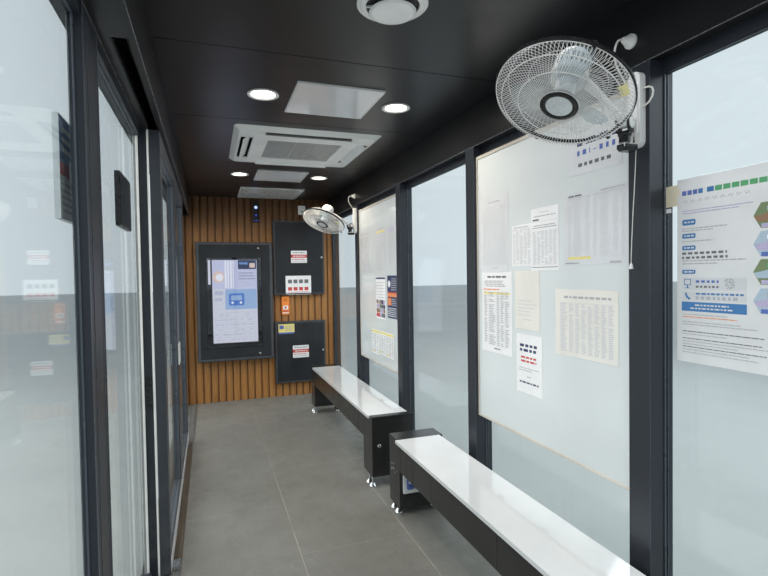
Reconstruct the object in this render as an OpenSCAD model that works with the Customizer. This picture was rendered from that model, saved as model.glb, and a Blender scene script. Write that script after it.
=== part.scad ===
// Enclosed bus shelter with a sliding street door, two benches, notice boards,
// wall fans and a slatted end wall with service cabinets.
// X runs along the shelter, -Y is the street side, Z is up, the ground is Z = 0.

/* [Shell] */
// Outside length of the roof
roof_len = 7320; // [7320:10:7400]
// Outside width of the roof
roof_w = 1930; // [1930:10:1990]
// Height of the roof top over the ground
roof_z = 2750; // [2720:10:2900]
// Height of the floor surface over the ground
floor_z = 100; // [90:5:140]
// Height from the floor to the ceiling
ceil_h = 2373; // [2350:1:2400]
// Height from the floor to the underside of the headers
head_h = 2150; // [2145:1:2160]
// Height from the floor to the top edge of the fixed glass
glass_h = 2110; // [2095:1:2115]
// Glass thickness
glass_t = 8; // [6:1:10]

/* [Street door] */
// Height of the sliding leaves
leaf_h = 2125; // [2100:1:2125]
// Width of the leaf stiles and rails
stile_w = 90; // [70:5:110]

/* [Benches] */
// Seat height over the floor
seat_h = 450; // [430:5:460]
// Depth of the bench frame, front to back
bench_d = 300; // [280:5:305]
// Height of the underside of the bench apron
apron_z = 270; // [240:5:300]
// Extra height of the far bench on its feet
far_lift = 35; // [0:5:50]

/* [Wall fans] */
// Radius of the fan guard
guard_r = 202; // [196:1:206]
// Downward tilt of the fan heads
fan_tilt = 59.8; // [57:0.1:61]
// Turn of the near fan's head towards +X
near_az = 21.6; // [15:0.1:30]
// Turn of the far fan's head towards +X
far_az = 32.6; // [20:0.1:38]
// Extra nod of the far fan
far_nod = 2; // [0:0.5:4]

/* [Hidden] */

F = floor_z;
ZC = F + ceil_h;
ZH = F + head_h;
ZG = F + glass_h;
RX = roof_len / 2;
RY = roof_w / 2;
// inner faces of the walls and headers
HX = 3640;
HY = 945;
// rear post centres, 90 mm wide posts; the slender one at the end wall reaches to corner_x
corner_x = -3482;
rear_x = [-3475, -2247, -1078, 58, 1233, 2410, 3585];
// front posts: start and end of each in X
front_x = [[-3532, -3430], [-2145, -2045], [-115, -15], [940, 1124], [2365, 2455], [3540, 3630]];
front_y = [[-935, -866], [-920, -866], [-920, -866], [-918, -887], [-918, -887], [-935, -887]];
seams = [-2578, -1635, -498, 445, 1388, 2331, 2938];
ac_c = [-1066, 40];
lamp_c = [[-44, -320], [-44, 400], [-2107, -320], [-2107, 400]];
bench_x = [[-2745, -620], [-363, 1762]];
bench_y = [413, 445];
bench_up = [far_lift, 0];
fan_c = [1235, -2245];
fan_az = [near_az, far_az];
fan_nod = [0, far_nod];
// pull cord of the near fan, from its bracket down to its bead
cord_pts = [[1234, 785, F + 1865], [1234, 785, F + 1855], [1233, 785, F + 1830], [1232, 784, F + 1790],
  [1230, 783, F + 1745], [1228, 782, F + 1700], [1226, 780, F + 1650], [1224, 779, F + 1600],
  [1222, 778, F + 1550], [1221, 777, F + 1510], [1220, 777, F + 1482], [1220, 777, F + 1472]];
// supply lead of a fan, from its gland to the side of its bracket, from the bracket's centre
lead_pts = [[-34, 762, F + 2240], [-34, 752, F + 2240], [-34, 742, F + 2235], [-36, 736, F + 2224], [-40, 734, F + 2210],
  [-46, 737, F + 2194], [-52, 746, F + 2176], [-56, 758, F + 2158], [-56, 771, F + 2138], [-52, 781, F + 2118],
  [-46, 786, F + 2100], [-41, 787, F + 2087], [-34, 787, F + 2080], [-25, 787, F + 2080]];
// short loop of the lead at the side of the bracket
loop_pts = [[25, 787, F + 2057], [34, 787, F + 2057], [50, 786, F + 2055], [64, 785, F + 2048], [71, 784, F + 2034],
  [66, 785, F + 2018], [52, 786, F + 2004], [36, 787, F + 1998], [25, 787, F + 1998]];

module bx(x0, x1, y0, y1, z0, z1) translate([x0, y0, z0]) cube([x1 - x0, y1 - y0, z1 - z0]);

function unit(v) = v / norm(v);
function tang(p, i) = unit(p[min(i + 1, len(p) - 1)] - p[max(i - 1, 0)]);
// smooth curve through the points p, with n steps between each two
function at(p, i) = p[max(0, min(len(p) - 1, i))];
function curve(p, n) = [for (i = [0 : len(p) - 2]) for (k = [0 : n - (i == len(p) - 2 ? 0 : 1)])
  let (t = k / n, a = at(p, i - 1), b = p[i], c = p[i + 1], d = at(p, i + 2))
  0.5 * (2 * b + (c - a) * t + (2 * a - 5 * b + 4 * c - d) * t * t + (3 * b - a - 3 * c + d) * t * t * t)];
module tube(p, r, ref, n = 8) {
  m = len(p);
  pts = [for (i = [0 : m - 1]) let (t = tang(p, i), a = unit(cross(ref, t)), b = cross(t, a))
    for (k = [0 : n - 1]) p[i] + r * (cos(360 * k / n) * a + sin(360 * k / n) * b)];
  side = [for (i = [0 : m - 2]) for (k = [0 : n - 1])
    [i * n + k, (i + 1) * n + k, (i + 1) * n + (k + 1) % n, i * n + (k + 1) % n]];
  caps = [[for (k = [0 : n - 1]) k], [for (k = [n - 1 : -1 : 0]) (m - 1) * n + k]];
  polyhedron(points = pts, faces = concat(side, caps), convexity = 6);
}

// ---- ground and floor ----
module base_beams() color("#3a3c3f") for (y = [[-HY + 30, -HY + 90], [-40, 40], [HY - 90, HY - 30]])
  bx(-HX + 30, HX - 30, y[0], y[1], 0, F - 30);
module base_crossbars() color("#3a3c3f") for (i = [0 : 6]) for (y = [[-HY + 90, -40], [40, HY - 90]])
  translate([i * (2 * HX - 130) / 6, 0, 0]) bx(-HX + 30, -HX + 100, y[0], y[1], 0, F - 30);
module floor_deck() color("#5d5b57") bx(-HX, HX, -HY, HY, F - 30, F);
module threshold() color("#4b443c") bx(-3430, 940, -HY, -765, F, F + 12);
module door_guides() color("#b9bcc0") for (x = [-87, -1975]) bx(x - 35, x + 35, -800, -768, F + 12, F + 32);

// ---- posts, rails and glass ----
module front_posts() color("#34383d")
  for (i = [0 : 5]) bx(front_x[i][0], front_x[i][1], front_y[i][0], front_y[i][1],
    i == 1 || i == 2 ? F + 12 : F, ZH);
module rear_posts() color("#34383d") {
  bx(-3532, corner_x, 850, 900, F, ZH);
  for (i = [1 : 6]) bx(rear_x[i] - 45, rear_x[i] + 45, 800, 900, F, ZH);
}
front_bays = [for (i = [0 : 4]) [front_x[i][1], front_x[i + 1][0]]];
rear_bays = [for (i = [0 : 5]) [i == 0 ? corner_x : rear_x[i] + 45, rear_x[i + 1] - 45]];
end_bays = [[-887, -45], [45, 800]];
module glazing_rails() color("#2f3338") {
  for (b = front_bays) bx(b[0], b[1], -930, -890, ZG, ZH);
  for (i = [0, 2]) bx(front_bays[i][0], front_bays[i][1], -930, -890, F + 12, F + 50);
  for (i = [3, 4]) bx(front_bays[i][0], front_bays[i][1], -930, -890, F, F + 50);
  for (b = rear_bays) { bx(b[0], b[1], 852, 888, ZG, ZH); bx(b[0], b[1], 852, 888, F, F + 50); }
  for (b = end_bays) { bx(3570, 3610, b[0], b[1], ZG, ZH); bx(3570, 3610, b[0], b[1], F, F + 50); }
}
module end_mullion() color("#34383d") bx(3550, 3630, -45, 45, F, ZH);
module fixed_glass() color("#bcd3d8", 0.35) {
  for (i = [0, 2, 3, 4]) bx(front_bays[i][0], front_bays[i][1], -914 - glass_t / 2, -914 + glass_t / 2, F + 50, ZG);
  for (b = rear_bays) bx(b[0], b[1], 870 - glass_t / 2, 870 + glass_t / 2, F + 50, ZG);
  for (b = end_bays) bx(3590 - glass_t / 2, 3590 + glass_t / 2, b[0], b[1], F + 50, ZG);
}
module end_wall() color("#6b4328") {
  bx(-HX, -3532, -HY, HY, F, ZH);
  bx(-HX, -3532, -787, 800, ZH, ZC);
}

// ---- headers, ceiling and roof ----
module front_header() color("#26282b") difference() {
  bx(-HX, HX, -HY, -787, ZH, ZC);
  bx(-3425, 920, -857, -808, ZH - 10, ZH + 140);
}
module rear_header() color("#26282b") bx(-HX, HX, 800, HY, ZH, ZC);
module end_header() color("#26282b") bx(3550, HX, -787, 800, ZH, ZC);
module ceiling() color("#1d1e20") difference() {
  bx(-HX, HX, -HY, HY, ZC, ZC + 12);
  for (x = seams) bx(x - 2.5, x + 2.5, -787, 800, ZC - 5, ZC + 5);
  bx(-3532, 3550, -784, -780, ZC - 5, ZC + 5);
  bx(-3532, 3550, 793, 797, ZC - 5, ZC + 5);
  bx(ac_c[0] - 435, ac_c[0] + 435, ac_c[1] - 435, ac_c[1] + 435, ZC - 10, ZC + 20);
  for (c = lamp_c) translate([c[0], c[1], ZC - 10]) cylinder(h = 40, r = 70, $fn = 48);
}
module roof_top() color("#2b2d30") bx(-RX, RX, -RY, RY, roof_z - 20, roof_z);
module side_fascia() color("#2b2d30") for (s = [-1, 1])
  bx(-RX, RX, min(s * RY, s * HY), max(s * RY, s * HY), ZH, roof_z - 20);
module end_fascia() color("#2b2d30") for (s = [-1, 1])
  bx(min(s * RX, s * HX), max(s * RX, s * HX), -HY, HY, ZH, roof_z - 20);

// ---- ceiling equipment ----
// width and length of the air outlets, and their distance from the centre
out_w = 76; out_l = 560; out_c = 388;
module ac_cassette() color("#d9d8d2") difference() {
  union() {
    translate([ac_c[0], ac_c[1], ZC - 24]) linear_extrude(24, scale = 950 / 884) offset(r = 30, $fn = 24) square(824, center = true);
    bx(ac_c[0] - 430, ac_c[0] + 430, ac_c[1] - 430, ac_c[1] + 430, ZC, ZC + 215);
  }
  for (a = [0 : 90 : 270]) translate([ac_c[0], ac_c[1], ZC - 40]) rotate([0, 0, a])
    translate([out_c - out_w / 2, -out_l / 2, 0]) cube([out_w, out_l, 110]);
  bx(ac_c[0] - 250, ac_c[0] + 250, ac_c[1] - 250, ac_c[1] + 250, ZC - 40, ZC - 14);
}
// flap of one outlet, turned down about its middle by the angle open
module vane(a, open) translate([ac_c[0], ac_c[1], ZC - 21]) rotate([0, 0, a])
  translate([out_c, 0, 0]) rotate([0, open, 0]) translate([-31, -out_l / 2, -1.5]) cube([62, out_l, 3]);
module ac_vanes() color("#e2e1dc") for (a = [0 : 90 : 270]) vane(a, 40);
module ceiling_panels() color("#c3c6c9") {
  for (x = [-44, -2107]) translate([x, 40, ZC - 10]) linear_extrude(10) square(430, center = true);
  translate([-3109, 55, ZC - 8]) linear_extrude(8) square(645, center = true);
}
module downlights() color("#d0d0cc") for (c = lamp_c) translate([c[0], c[1], ZC]) difference() {
  union() { translate([0, 0, -5]) cylinder(h = 5, r = 78, $fn = 48); cylinder(h = 60, r = 68, $fn = 48); }
  translate([0, 0, -10]) cylinder(h = 66, r = 62, $fn = 48);
}
module downlight_lenses() color("#fff4dc") for (c = lamp_c)
  translate([c[0], c[1], ZC + 8]) cylinder(h = 48, r = 58, $fn = 48);
module round_diffuser() color("#dcdcd8") translate([943, 15, ZC]) {
  rotate_extrude($fn = 64) polygon([[92, 0], [92, -10], [100, -12], [119, -7], [123, -3], [123, 0]]);
  rotate_extrude($fn = 64) polygon([[0, 0], [10, 0], [10, -24], [70, -24], [79, -26], [81, -29], [78, -32], [60, -33.5], [0, -34]]);
  for (a = [0 : 120 : 240]) rotate([0, 0, a + 7]) translate([6, -4, -8]) cube([90, 8, 6]);
}

// ---- end wall equipment ----
module display_case() color("#2a2d31") difference() {
  bx(-3532, -3418, -740, 106, F + 488, F + 1848);
  bx(-3512, -3400, -718, 84, F + 510, F + 1826);
}
module display_screen() color("#cfd2e2") bx(-3512, -3428, -632, -24, F + 640, F + 1670);
module knuckles(x, y, zs) for (z = zs) translate([x, y, z]) rotate([0, 0, -90]) cylinder(h = 60, r = 4.5, $fn = 32);
module display_door() color("#2f3236") {
  difference() {
    bx(-3413, -3400, -740, 106, F + 488, F + 1848);
    bx(-3430, -3390, -630, -26, F + 642, F + 1668);
  }
  knuckles(-3406.5, -740, [F + 560, F + 1138, F + 1716]);
}
module display_glass() color("#20242a", 0.4) bx(-3410, -3404, -630, -26, F + 642, F + 1668);
module cabinet(z0, z1) difference() {
  bx(-3532, -3470, 124, 736, z0, z1);
  bx(-3518, -3460, 140, 720, z0 + 16, z1 - 16);
}
module upper_cabinet() color("#3c4045") cabinet(F + 1223, F + 2116);
module lower_cabinet() color("#3c4045") cabinet(F + 164, F + 906);
module upper_door() color("#2c2f33") {
  bx(-3465, -3453, 130, 730, F + 1229, F + 2110);
  knuckles(-3459, 130, [F + 1300, F + 1980]);
}
module lower_door() color("#2c2f33") {
  bx(-3465, -3453, 130, 730, F + 170, F + 900);
  knuckles(-3459, 130, [F + 230, F + 780]);
}
module wall_sensor() color("#1f2124") bx(-3532, -3475, -100, -27, F + 2090, F + 2330);
module wall_box() color("#e0e0dc") bx(-3532, -3495, 437, 523, F + 2193, F + 2300);
module call_device() color("#d9602a") translate([-3532, 260, F + 1095]) rotate([90, 0, 90])
  linear_extrude(44) offset(r = 12, $fn = 24) square([66, 196], center = true);
module info_tablet() color("#1b1c1e") translate([436, -910, F + 1736]) rotate([90, 0, 180])
  linear_extrude(16) offset(r = 14, $fn = 24) square([242, 170], center = true);
module outside_sign() color("#e8eaec") {
  bx(895, 1115, -960, -946, F + 1600, F + 1864);
  bx(985, 1025, -946, -935, F + 1700, F + 1760);
}

// ---- benches and boards ----
module bench_frames() color("#1c1d1f") for (i = [0, 1]) let (b = bench_x[i], y = bench_y[i]) translate([0, 0, bench_up[i]]) {
  bx(b[0], b[1], y, y + bench_d, F + apron_z, F + seat_h - 18);
  bx(b[0], b[0] + 140, y, y + bench_d, F + seat_h - 18, F + seat_h);
  bx(b[1] - 50, b[1], y, y + bench_d, F + seat_h - 18, F + seat_h);
  bx(b[0], b[0] + 170, y, y + bench_d, F + 40, F + apron_z);
  bx(b[1] - 200, b[1], y, y + bench_d, F + 40, F + apron_z);
}
module bench_tops() color("#f0f0ec") for (i = [0, 1]) let (b = bench_x[i], y = bench_y[i])
  translate([0, 0, bench_up[i]]) bx(b[0] + 140, b[1] - 50, y - 13, y + 278, F + seat_h - 18, F + seat_h);
module bench_feet() color("#b5b7ba") for (i = [0, 1]) let (b = bench_x[i])
  for (x = [b[0] + 43, b[0] + 113, b[1] - 113, b[1] - 43]) for (y = [bench_y[i] + 14, bench_y[i] + bench_d - 45])
    translate([x, y, F]) rotate_extrude($fn = 32)
      polygon([[0, 0], [27, 0], [27, 5], [25, 9], [12, 26], [6, 28], [6, 40 + bench_up[i]], [0, 40 + bench_up[i]]]);
module notice_boards() color("#dfe3e2") {
  bx(rear_x[1] + 45, rear_x[2] - 45, 820, 832, F + 650, F + 2090);
  bx(rear_x[3] + 45, rear_x[4] - 45, 820, 832, F + 650, F + 2090);
}

// ---- street door leaves ----
module leaf_frame(x0, x1) color("#3a3e44") {
  difference() {
    bx(x0, x1, -852, -806, F + 18, F + 18 + leaf_h);
    bx(x0 + stile_w, x1 - stile_w, -860, -800, F + 18 + stile_w, F + 18 + leaf_h - stile_w);
  }
  for (x = [x0 + 160, x1 - 220]) bx(x, x + 60, -836, -822, F + 18 + leaf_h, F + head_h + 110);
}
module leaf_glass(x0, x1) color("#bcd3d8", 0.35)
  bx(x0 + stile_w, x1 - stile_w, -829 - glass_t / 2, -829 + glass_t / 2, F + 18 + stile_w, F + 18 + leaf_h - stile_w);
module near_leaf_frame() leaf_frame(-1077, -15);
module near_leaf_glass() leaf_glass(-1077, -15);
module far_leaf_frame() leaf_frame(-2145, -1083);
module far_leaf_glass() leaf_glass(-2145, -1083);

// ---- wall fans ----
// turn of fan i, about the upright axis of its neck
module fan_frame(i) translate([fan_c[i], 735, F + 1940]) rotate([0, 0, fan_az[i] - 90]) children();
// frame of fan i's head, nodded about its pivot
module head_frame(i) fan_frame(i) translate([0, 0, 2]) rotate([0, fan_nod[i], 0]) translate([0, 0, -2]) children();
// fan axis: origin at the guard's middle, +Z out of the front
module fan_axis(i) head_frame(i) translate([320, -47.1, 36]) rotate([0, 90 + fan_tilt, 0]) children();
module bracket(c) color("#e4e4e0") {
  translate([c, 800, F + 1991.5]) rotate([90, 0, 0]) linear_extrude(25) offset(r = 22, $fn = 32) square([6, 209], center = true);
  bx(c - 18, c + 18, 716, 776, F + 1862, F + 1873);
  translate([c, 735, F + 1873]) cylinder(h = 32, r = 6, $fn = 24);
}
module neck(i) color("#1d1d1e") fan_frame(i) {
  difference() {
    translate([0, 0, -61]) cylinder(h = 36, r = 18, $fn = 32);
    translate([0, 0, -70]) cylinder(h = 38, r = 6.3, $fn = 24);
  }
  for (s = [-1, 1]) translate([-18, s * 20 - 3, -28]) cube([36, 6, 30]);
  for (s = [-1, 1]) translate([0, s * 20 + 3, 2]) rotate([90, 0, 0]) cylinder(h = 6, r = 18, $fn = 32);
  translate([-15, -20, -30]) cube([30, 40, 6]);
}
module head(i) color("#d8d9d6") {
  fan_axis(i) {
    difference() {
      cylinder(h = 12, r = guard_r + 4, center = true, $fn = 64);
      cylinder(h = 20, r = guard_r - 5, center = true, $fn = 64);
    }
    for (a = [20 : 45 : 335]) rotate([0, 0, a]) translate([0, 1.5, 0]) rotate([90, 0, 0]) linear_extrude(3)
      polygon([[guard_r - 2, 5], [guard_r - 20, 23], [54, 32], [54, 37], [guard_r - 18, 28], [guard_r + 2, 5],
        [guard_r + 2, -5], [guard_r - 18, -54], [40, -68], [40, -64], [guard_r - 20, -50], [guard_r - 2, -5]]);
    translate([0, 0, 30]) cylinder(h = 11, r = 58, $fn = 48);
    difference() {
      translate([0, 0, -165]) cylinder(h = 103, r = 54, $fn = 48);
      translate([0, 0, -88]) cylinder(h = 40, r = 5.1, $fn = 32);
    }
  }
  head_frame(i) translate([0, 0, 2]) {
    rotate([90, 0, 0]) cylinder(h = 24, r = 15, center = true, $fn = 32);
    rotate([0, 0, -10.15]) rotate([0, -25.7, 0]) translate([2, -10, -9]) cube([262, 20, 19]);
  }
}
module rotor(i) color("#c9d2d6", 0.8) fan_axis(i) {
  translate([0, 0, -52]) cylinder(h = 70, r = 34, $fn = 48);
  translate([0, 0, -84]) cylinder(h = 40, r = 5, $fn = 32);
  for (a = [20 : 120 : 260]) rotate([0, 0, a]) translate([0, 0, -14]) rotate([24, 0, 0]) translate([0, 0, -1.5])
    linear_extrude(3) polygon([[26, -20], [70, -44], [118, -56], [152, -48], [168, -26], [168, 14], [144, 42], [98, 42], [60, 30], [26, 16]]);
}
module fan_a_bracket() bracket(fan_c[0]);
module fan_a_neck() neck(0);
module fan_a_head() head(0);
module fan_a_rotor() rotor(0);
module fan_b_bracket() bracket(fan_c[1]);
module fan_b_neck() neck(1);
module fan_b_head() head(1);
module fan_b_rotor() rotor(1);
module cable_glands() color("#dcdcd8") for (c = fan_c) translate([c - 34, 800, F + 2240]) rotate([90, 0, 0]) {
  cylinder(h = 8, r = 25, $fn = 32);
  translate([0, 0, 8]) cylinder(h = 30, r1 = 23, r2 = 9, $fn = 32);
}
module fan_leads() color("#c9c9c4") for (c = fan_c) {
  tube([for (p = lead_pts) p + [c, 0, 0]], 3.5, [1, 1, 0]);
  tube([for (p = loop_pts) p + [c, 0, 0]], 3, [0, 1, 0]);
}
module pull_cord() color("#e8e8e4") tube(curve(cord_pts, 5), 1.5, [1, 0, 0]);
module cord_bead() color("#f0f0ec") translate([1220, 777, F + 1452]) cylinder(h = 20, r1 = 7, r2 = 4, $fn = 24);

base_beams();
base_crossbars();
floor_deck();
threshold();
door_guides();
front_posts();
rear_posts();
glazing_rails();
end_mullion();
fixed_glass();
end_wall();
front_header();
rear_header();
end_header();
ceiling();
roof_top();
side_fascia();
end_fascia();
ac_cassette();
ac_vanes();
ceiling_panels();
downlights();
downlight_lenses();
round_diffuser();
display_case();
display_screen();
display_door();
display_glass();
upper_cabinet();
upper_door();
lower_cabinet();
lower_door();
bench_frames();
bench_tops();
bench_feet();
notice_boards();
wall_sensor();
wall_box();
call_device();
info_tablet();
outside_sign();
cable_glands();
fan_leads();
pull_cord();
cord_bead();
near_leaf_frame();
near_leaf_glass();
far_leaf_frame();
far_leaf_glass();
fan_a_bracket();
fan_a_neck();
fan_a_head();
fan_a_rotor();
fan_b_bracket();
fan_b_neck();
fan_b_head();
fan_b_rotor();
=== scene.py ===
import bpy, math, random
from mathutils import Vector, Matrix


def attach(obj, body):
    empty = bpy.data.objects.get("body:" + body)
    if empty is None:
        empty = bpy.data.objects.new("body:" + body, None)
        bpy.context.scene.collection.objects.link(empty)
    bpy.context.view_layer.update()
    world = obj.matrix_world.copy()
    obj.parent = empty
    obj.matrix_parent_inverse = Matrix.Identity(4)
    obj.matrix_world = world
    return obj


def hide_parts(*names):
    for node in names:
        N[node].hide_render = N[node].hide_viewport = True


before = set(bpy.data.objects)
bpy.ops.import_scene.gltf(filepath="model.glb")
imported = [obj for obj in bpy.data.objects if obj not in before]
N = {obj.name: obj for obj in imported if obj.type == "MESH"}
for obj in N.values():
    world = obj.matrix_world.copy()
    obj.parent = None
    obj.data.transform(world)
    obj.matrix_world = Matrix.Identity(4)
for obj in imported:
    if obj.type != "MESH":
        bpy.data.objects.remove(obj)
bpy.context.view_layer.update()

TAU = 2 * math.pi

# ------------------------------------------------------------------ camera
YAW, PITCH, ROLL = math.radians(19.295), math.radians(-1.494), math.radians(-0.897)
fwd0 = Vector((-math.cos(YAW), math.sin(YAW), 0))
right0 = Vector((math.sin(YAW), math.cos(YAW), 0))
up0 = Vector((0, 0, 1))
f = math.cos(PITCH) * fwd0 + math.sin(PITCH) * up0
u2 = -math.sin(PITCH) * fwd0 + math.cos(PITCH) * up0
r = math.cos(ROLL) * right0 + math.sin(ROLL) * u2
u = -math.sin(ROLL) * right0 + math.cos(ROLL) * u2
cam_data = bpy.data.cameras.new("camera")
cam_data.sensor_fit = "HORIZONTAL"
cam_data.sensor_width = 36
cam_data.lens = 23.378
cam_data.clip_start = 0.05
cam_data.clip_end = 200
cam = bpy.data.objects.new("camera", cam_data)
bpy.context.collection.objects.link(cam)
m = Matrix.Identity(4)
for i in range(3):
    m[i][0], m[i][1], m[i][2] = r[i], u[i], -f[i]
m[0][3], m[1][3], m[2][3] = 2.565, -0.600, 1.545
cam.matrix_world = m
bpy.context.scene.camera = cam


# ------------------------------------------------------------------ node helpers
class NT:
    """A material's node tree with short calls."""

    def __init__(self, name):
        self.mat = bpy.data.materials.new(name)
        self.mat.use_nodes = True
        self.t = self.mat.node_tree
        self.t.nodes.clear()
        self.out = self.t.nodes.new("ShaderNodeOutputMaterial")
        self._obj = None

    def n(self, kind, ins=None, **props):
        node = self.t.nodes.new("ShaderNode" + kind)
        for k, v in props.items():
            setattr(node, k, v)
        for k, v in (ins or {}).items():
            self.put(node.inputs[k], v)
        return node

    def put(self, socket, v):
        if isinstance(v, bpy.types.NodeSocket):
            self.t.links.new(v, socket)
        elif isinstance(v, (tuple, list)) and len(v) == 3 and socket.type == "RGBA":
            socket.default_value = (*v, 1)
        else:
            socket.default_value = v

    @property
    def obj(self):
        if self._obj is None:
            self._obj = self.n("TexCoord").outputs["Object"]
        return self._obj

    def uv(self):
        return self.n("TexCoord").outputs["UV"]

    def xyz(self, v=None):
        s = self.n("SeparateXYZ", {0: v or self.obj})
        return s.outputs[0], s.outputs[1], s.outputs[2]

    def vec(self, x, y, z):
        return self.n("CombineXYZ", {0: x, 1: y, 2: z}).outputs[0]

    def scale(self, v, s):
        return self.n("VectorMath", {0: v, 1: s}, operation="MULTIPLY").outputs[0]

    def add(self, v, s):
        return self.n("VectorMath", {0: v, 1: s}, operation="ADD").outputs[0]

    def math(self, op, a, b=0.0, c=0.0, clamp=False):
        return self.n("Math", {0: a, 1: b, 2: c}, operation=op, use_clamp=clamp).outputs[0]

    def noise(self, scale, detail=3, rough=0.55, vec=None, dist=0.0):
        return self.n("TexNoise", {"Vector": vec or self.obj, "Scale": scale, "Detail": detail,
                                   "Roughness": rough, "Distortion": dist}).outputs[0]

    def voro(self, scale, vec=None, feature="F1", rand=1.0):
        return self.n("TexVoronoi", {"Vector": vec or self.obj, "Scale": scale, "Randomness": rand},
                      feature=feature).outputs["Distance"]

    def ramp(self, fac, lo, hi, a=0.0, b=1.0, smooth=True):
        return self.n("MapRange", {0: fac, 1: lo, 2: hi, 3: a, 4: b},
                      interpolation_type="SMOOTHSTEP" if smooth else "LINEAR", clamp=True).outputs[0]

    def mix(self, fac, a, b, mode="MIX"):
        node = self.n("Mix", data_type="RGBA", blend_type=mode)
        self.put(node.inputs[0], fac)
        self.put(node.inputs[6], a)
        self.put(node.inputs[7], b)
        return node.outputs[2]

    def bump(self, height, strength=0.3, dist=0.001, normal=None):
        ins = {"Height": height, "Strength": strength, "Distance": dist}
        if normal is not None:
            ins["Normal"] = normal
        return self.n("Bump", ins).outputs[0]

    def pbr(self, color, rough=0.5, metal=0.0, normal=None, **more):
        ins = {"Base Color": color, "Roughness": rough, "Metallic": metal}
        if normal is not None:
            ins["Normal"] = normal
        ins.update({k.replace("_", " "): v for k, v in more.items()})
        return self.n("BsdfPrincipled", ins).outputs[0]

    def done(self, shader):
        self.t.links.new(shader, self.out.inputs[0])
        return self.mat


def satin(name, c, rough=(0.3, 0.42), metal=0.0, var=0.18, nscale=2.2, bump=0.06, bscale=900, dust=0.0,
          dust_c=(0.32, 0.30, 0.27), spec=0.5, streak=0.0, coat=0.0):
    """Sprayed or anodised coating: slow colour drift, fine grain, dust towards the floor."""
    t = NT(name)
    dark = tuple(v * (1 - var) for v in c)
    light = tuple(min(1, v * (1 + var)) for v in c)
    slow = t.ramp(t.noise(nscale, 4), 0.35, 0.65)
    col = t.mix(slow, dark, light)
    rg = t.ramp(t.noise(nscale * 5, 5, 0.65), 0.3, 0.7, rough[0], rough[1])
    if streak:
        x, y, z = t.xyz()
        st = t.noise(30, 2, 0.5, t.vec(x, y, t.math("MULTIPLY", z, 0.04)))
        col = t.mix(t.ramp(st, 0.45, 0.75, 0, streak), col, tuple(min(1, v * 1.6 + 0.01) for v in c))
    if dust:
        x, y, z = t.xyz()
        low = t.math("MULTIPLY", t.ramp(z, 0.12, 0.75, 1, 0), t.ramp(t.noise(14, 6, 0.7), 0.35, 0.75))
        col = t.mix(t.math("MULTIPLY", low, dust), col, dust_c)
        rg = t.math("ADD", rg, t.math("MULTIPLY", low, 0.25 * dust))
    nm = t.bump(t.noise(bscale, 2, 0.5), bump, 0.0004)
    more = {"Specular_IOR_Level": spec}
    if coat:
        more["Coat_Weight"] = coat
        more["Coat_Roughness"] = 0.08
    return t.done(t.pbr(col, rg, metal, nm, **more))


def lit(name, c, strength, rim=None):
    t = NT(name)
    col = t.mix(t.ramp(t.noise(60, 2), 0.3, 0.7), tuple(v * 0.93 for v in c), c)
    e = t.n("Emission", {"Color": col, "Strength": strength}).outputs[0]
    return t.done(e)


def clear(name, tint=(0.93, 0.965, 0.96), spots=0.10, smear=0.03, gloss=0.6):
    """Thin pane: what is behind shows through, with gloss that grows towards grazing, and dried water spots."""
    t = NT(name)
    face = t.n("LayerWeight", {"Blend": 0.5}).outputs["Facing"]
    fres = t.math("MULTIPLY", t.math("ADD", t.math("MULTIPLY", t.math("POWER", face, 5.0), 0.9), 0.035), gloss, clamp=True)
    film = t.n("BsdfTransparent", {"Color": (*tint, 1)}).outputs[0]
    shine = t.n("BsdfGlossy", {"Color": (1, 1, 1, 1), "Roughness": 0.015}).outputs[0]
    pane = t.n("MixShader", {0: fres, 1: film, 2: shine}).outputs[0]
    x, y, z = t.xyz()
    where = t.ramp(t.noise(1.3, 3, 0.6), 0.42, 0.62)
    low = t.ramp(z, 0.25, 1.5, 1.0, 0.25)
    dots = t.ramp(t.voro(85), 0.16, 0.30, 1, 0)
    keep = t.ramp(t.noise(23, 2), 0.46, 0.56)
    runs = t.ramp(t.noise(1, 4, 0.6, t.vec(t.math("MULTIPLY", x, 38), t.math("MULTIPLY", y, 38), t.math("MULTIPLY", z, 2.2))), 0.56, 0.72)
    wet = t.math("MULTIPLY", t.math("MULTIPLY", dots, keep), t.math("MULTIPLY", where, low))
    film_d = t.math("MULTIPLY", t.math("MULTIPLY", runs, low), smear)
    fac = t.math("ADD", t.math("MULTIPLY", wet, spots), film_d, clamp=True)
    dirt = t.n("BsdfDiffuse", {"Color": (0.75, 0.77, 0.78, 1)}).outputs[0]
    return t.done(t.n("MixShader", {0: fac, 1: pane, 2: dirt}).outputs[0])


# ------------------------------------------------------------------ materials
M = {}
M["frame"] = satin("frame_paint", (0.027, 0.0315, 0.041), (0.34, 0.40), 0.25, 0.07, 0.9, 0.02, 1400, dust=0.20)
M["frame_dark"] = satin("frame_dark", (0.016, 0.017, 0.020), (0.32, 0.46), 0.2, 0.2, 2.0, 0.08, 1400, dust=0.4)
M["leaf"] = satin("leaf_paint", (0.050, 0.055, 0.066), (0.32, 0.38), 0.25, 0.07, 0.9, 0.02, 1400, dust=0.20)
# bead paint, also used for painted highlight strips along the rear posts' edges
M["bead"] = satin("bead_paint_and_edge_highlight", (0.085, 0.098, 0.120), (0.26, 0.32), 0.3, 0.06, 1.2, 0.01, 1400, dust=0.15)
M["ceil"] = satin("ceiling_black", (0.0085, 0.0085, 0.0100), (0.30, 0.34), 0.0, 0.10, 0.4, 0.015, 1100, spec=0.5)
M["header"] = satin("header_black", (0.010, 0.0103, 0.0115), (0.32, 0.36), 0.0, 0.10, 0.4, 0.015, 1100, spec=0.4)
M["roof"] = satin("roof_paint", (0.050, 0.054, 0.062), (0.36, 0.55), 0.25, 0.22, 0.8, 0.10, 700, streak=0.2)
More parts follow.
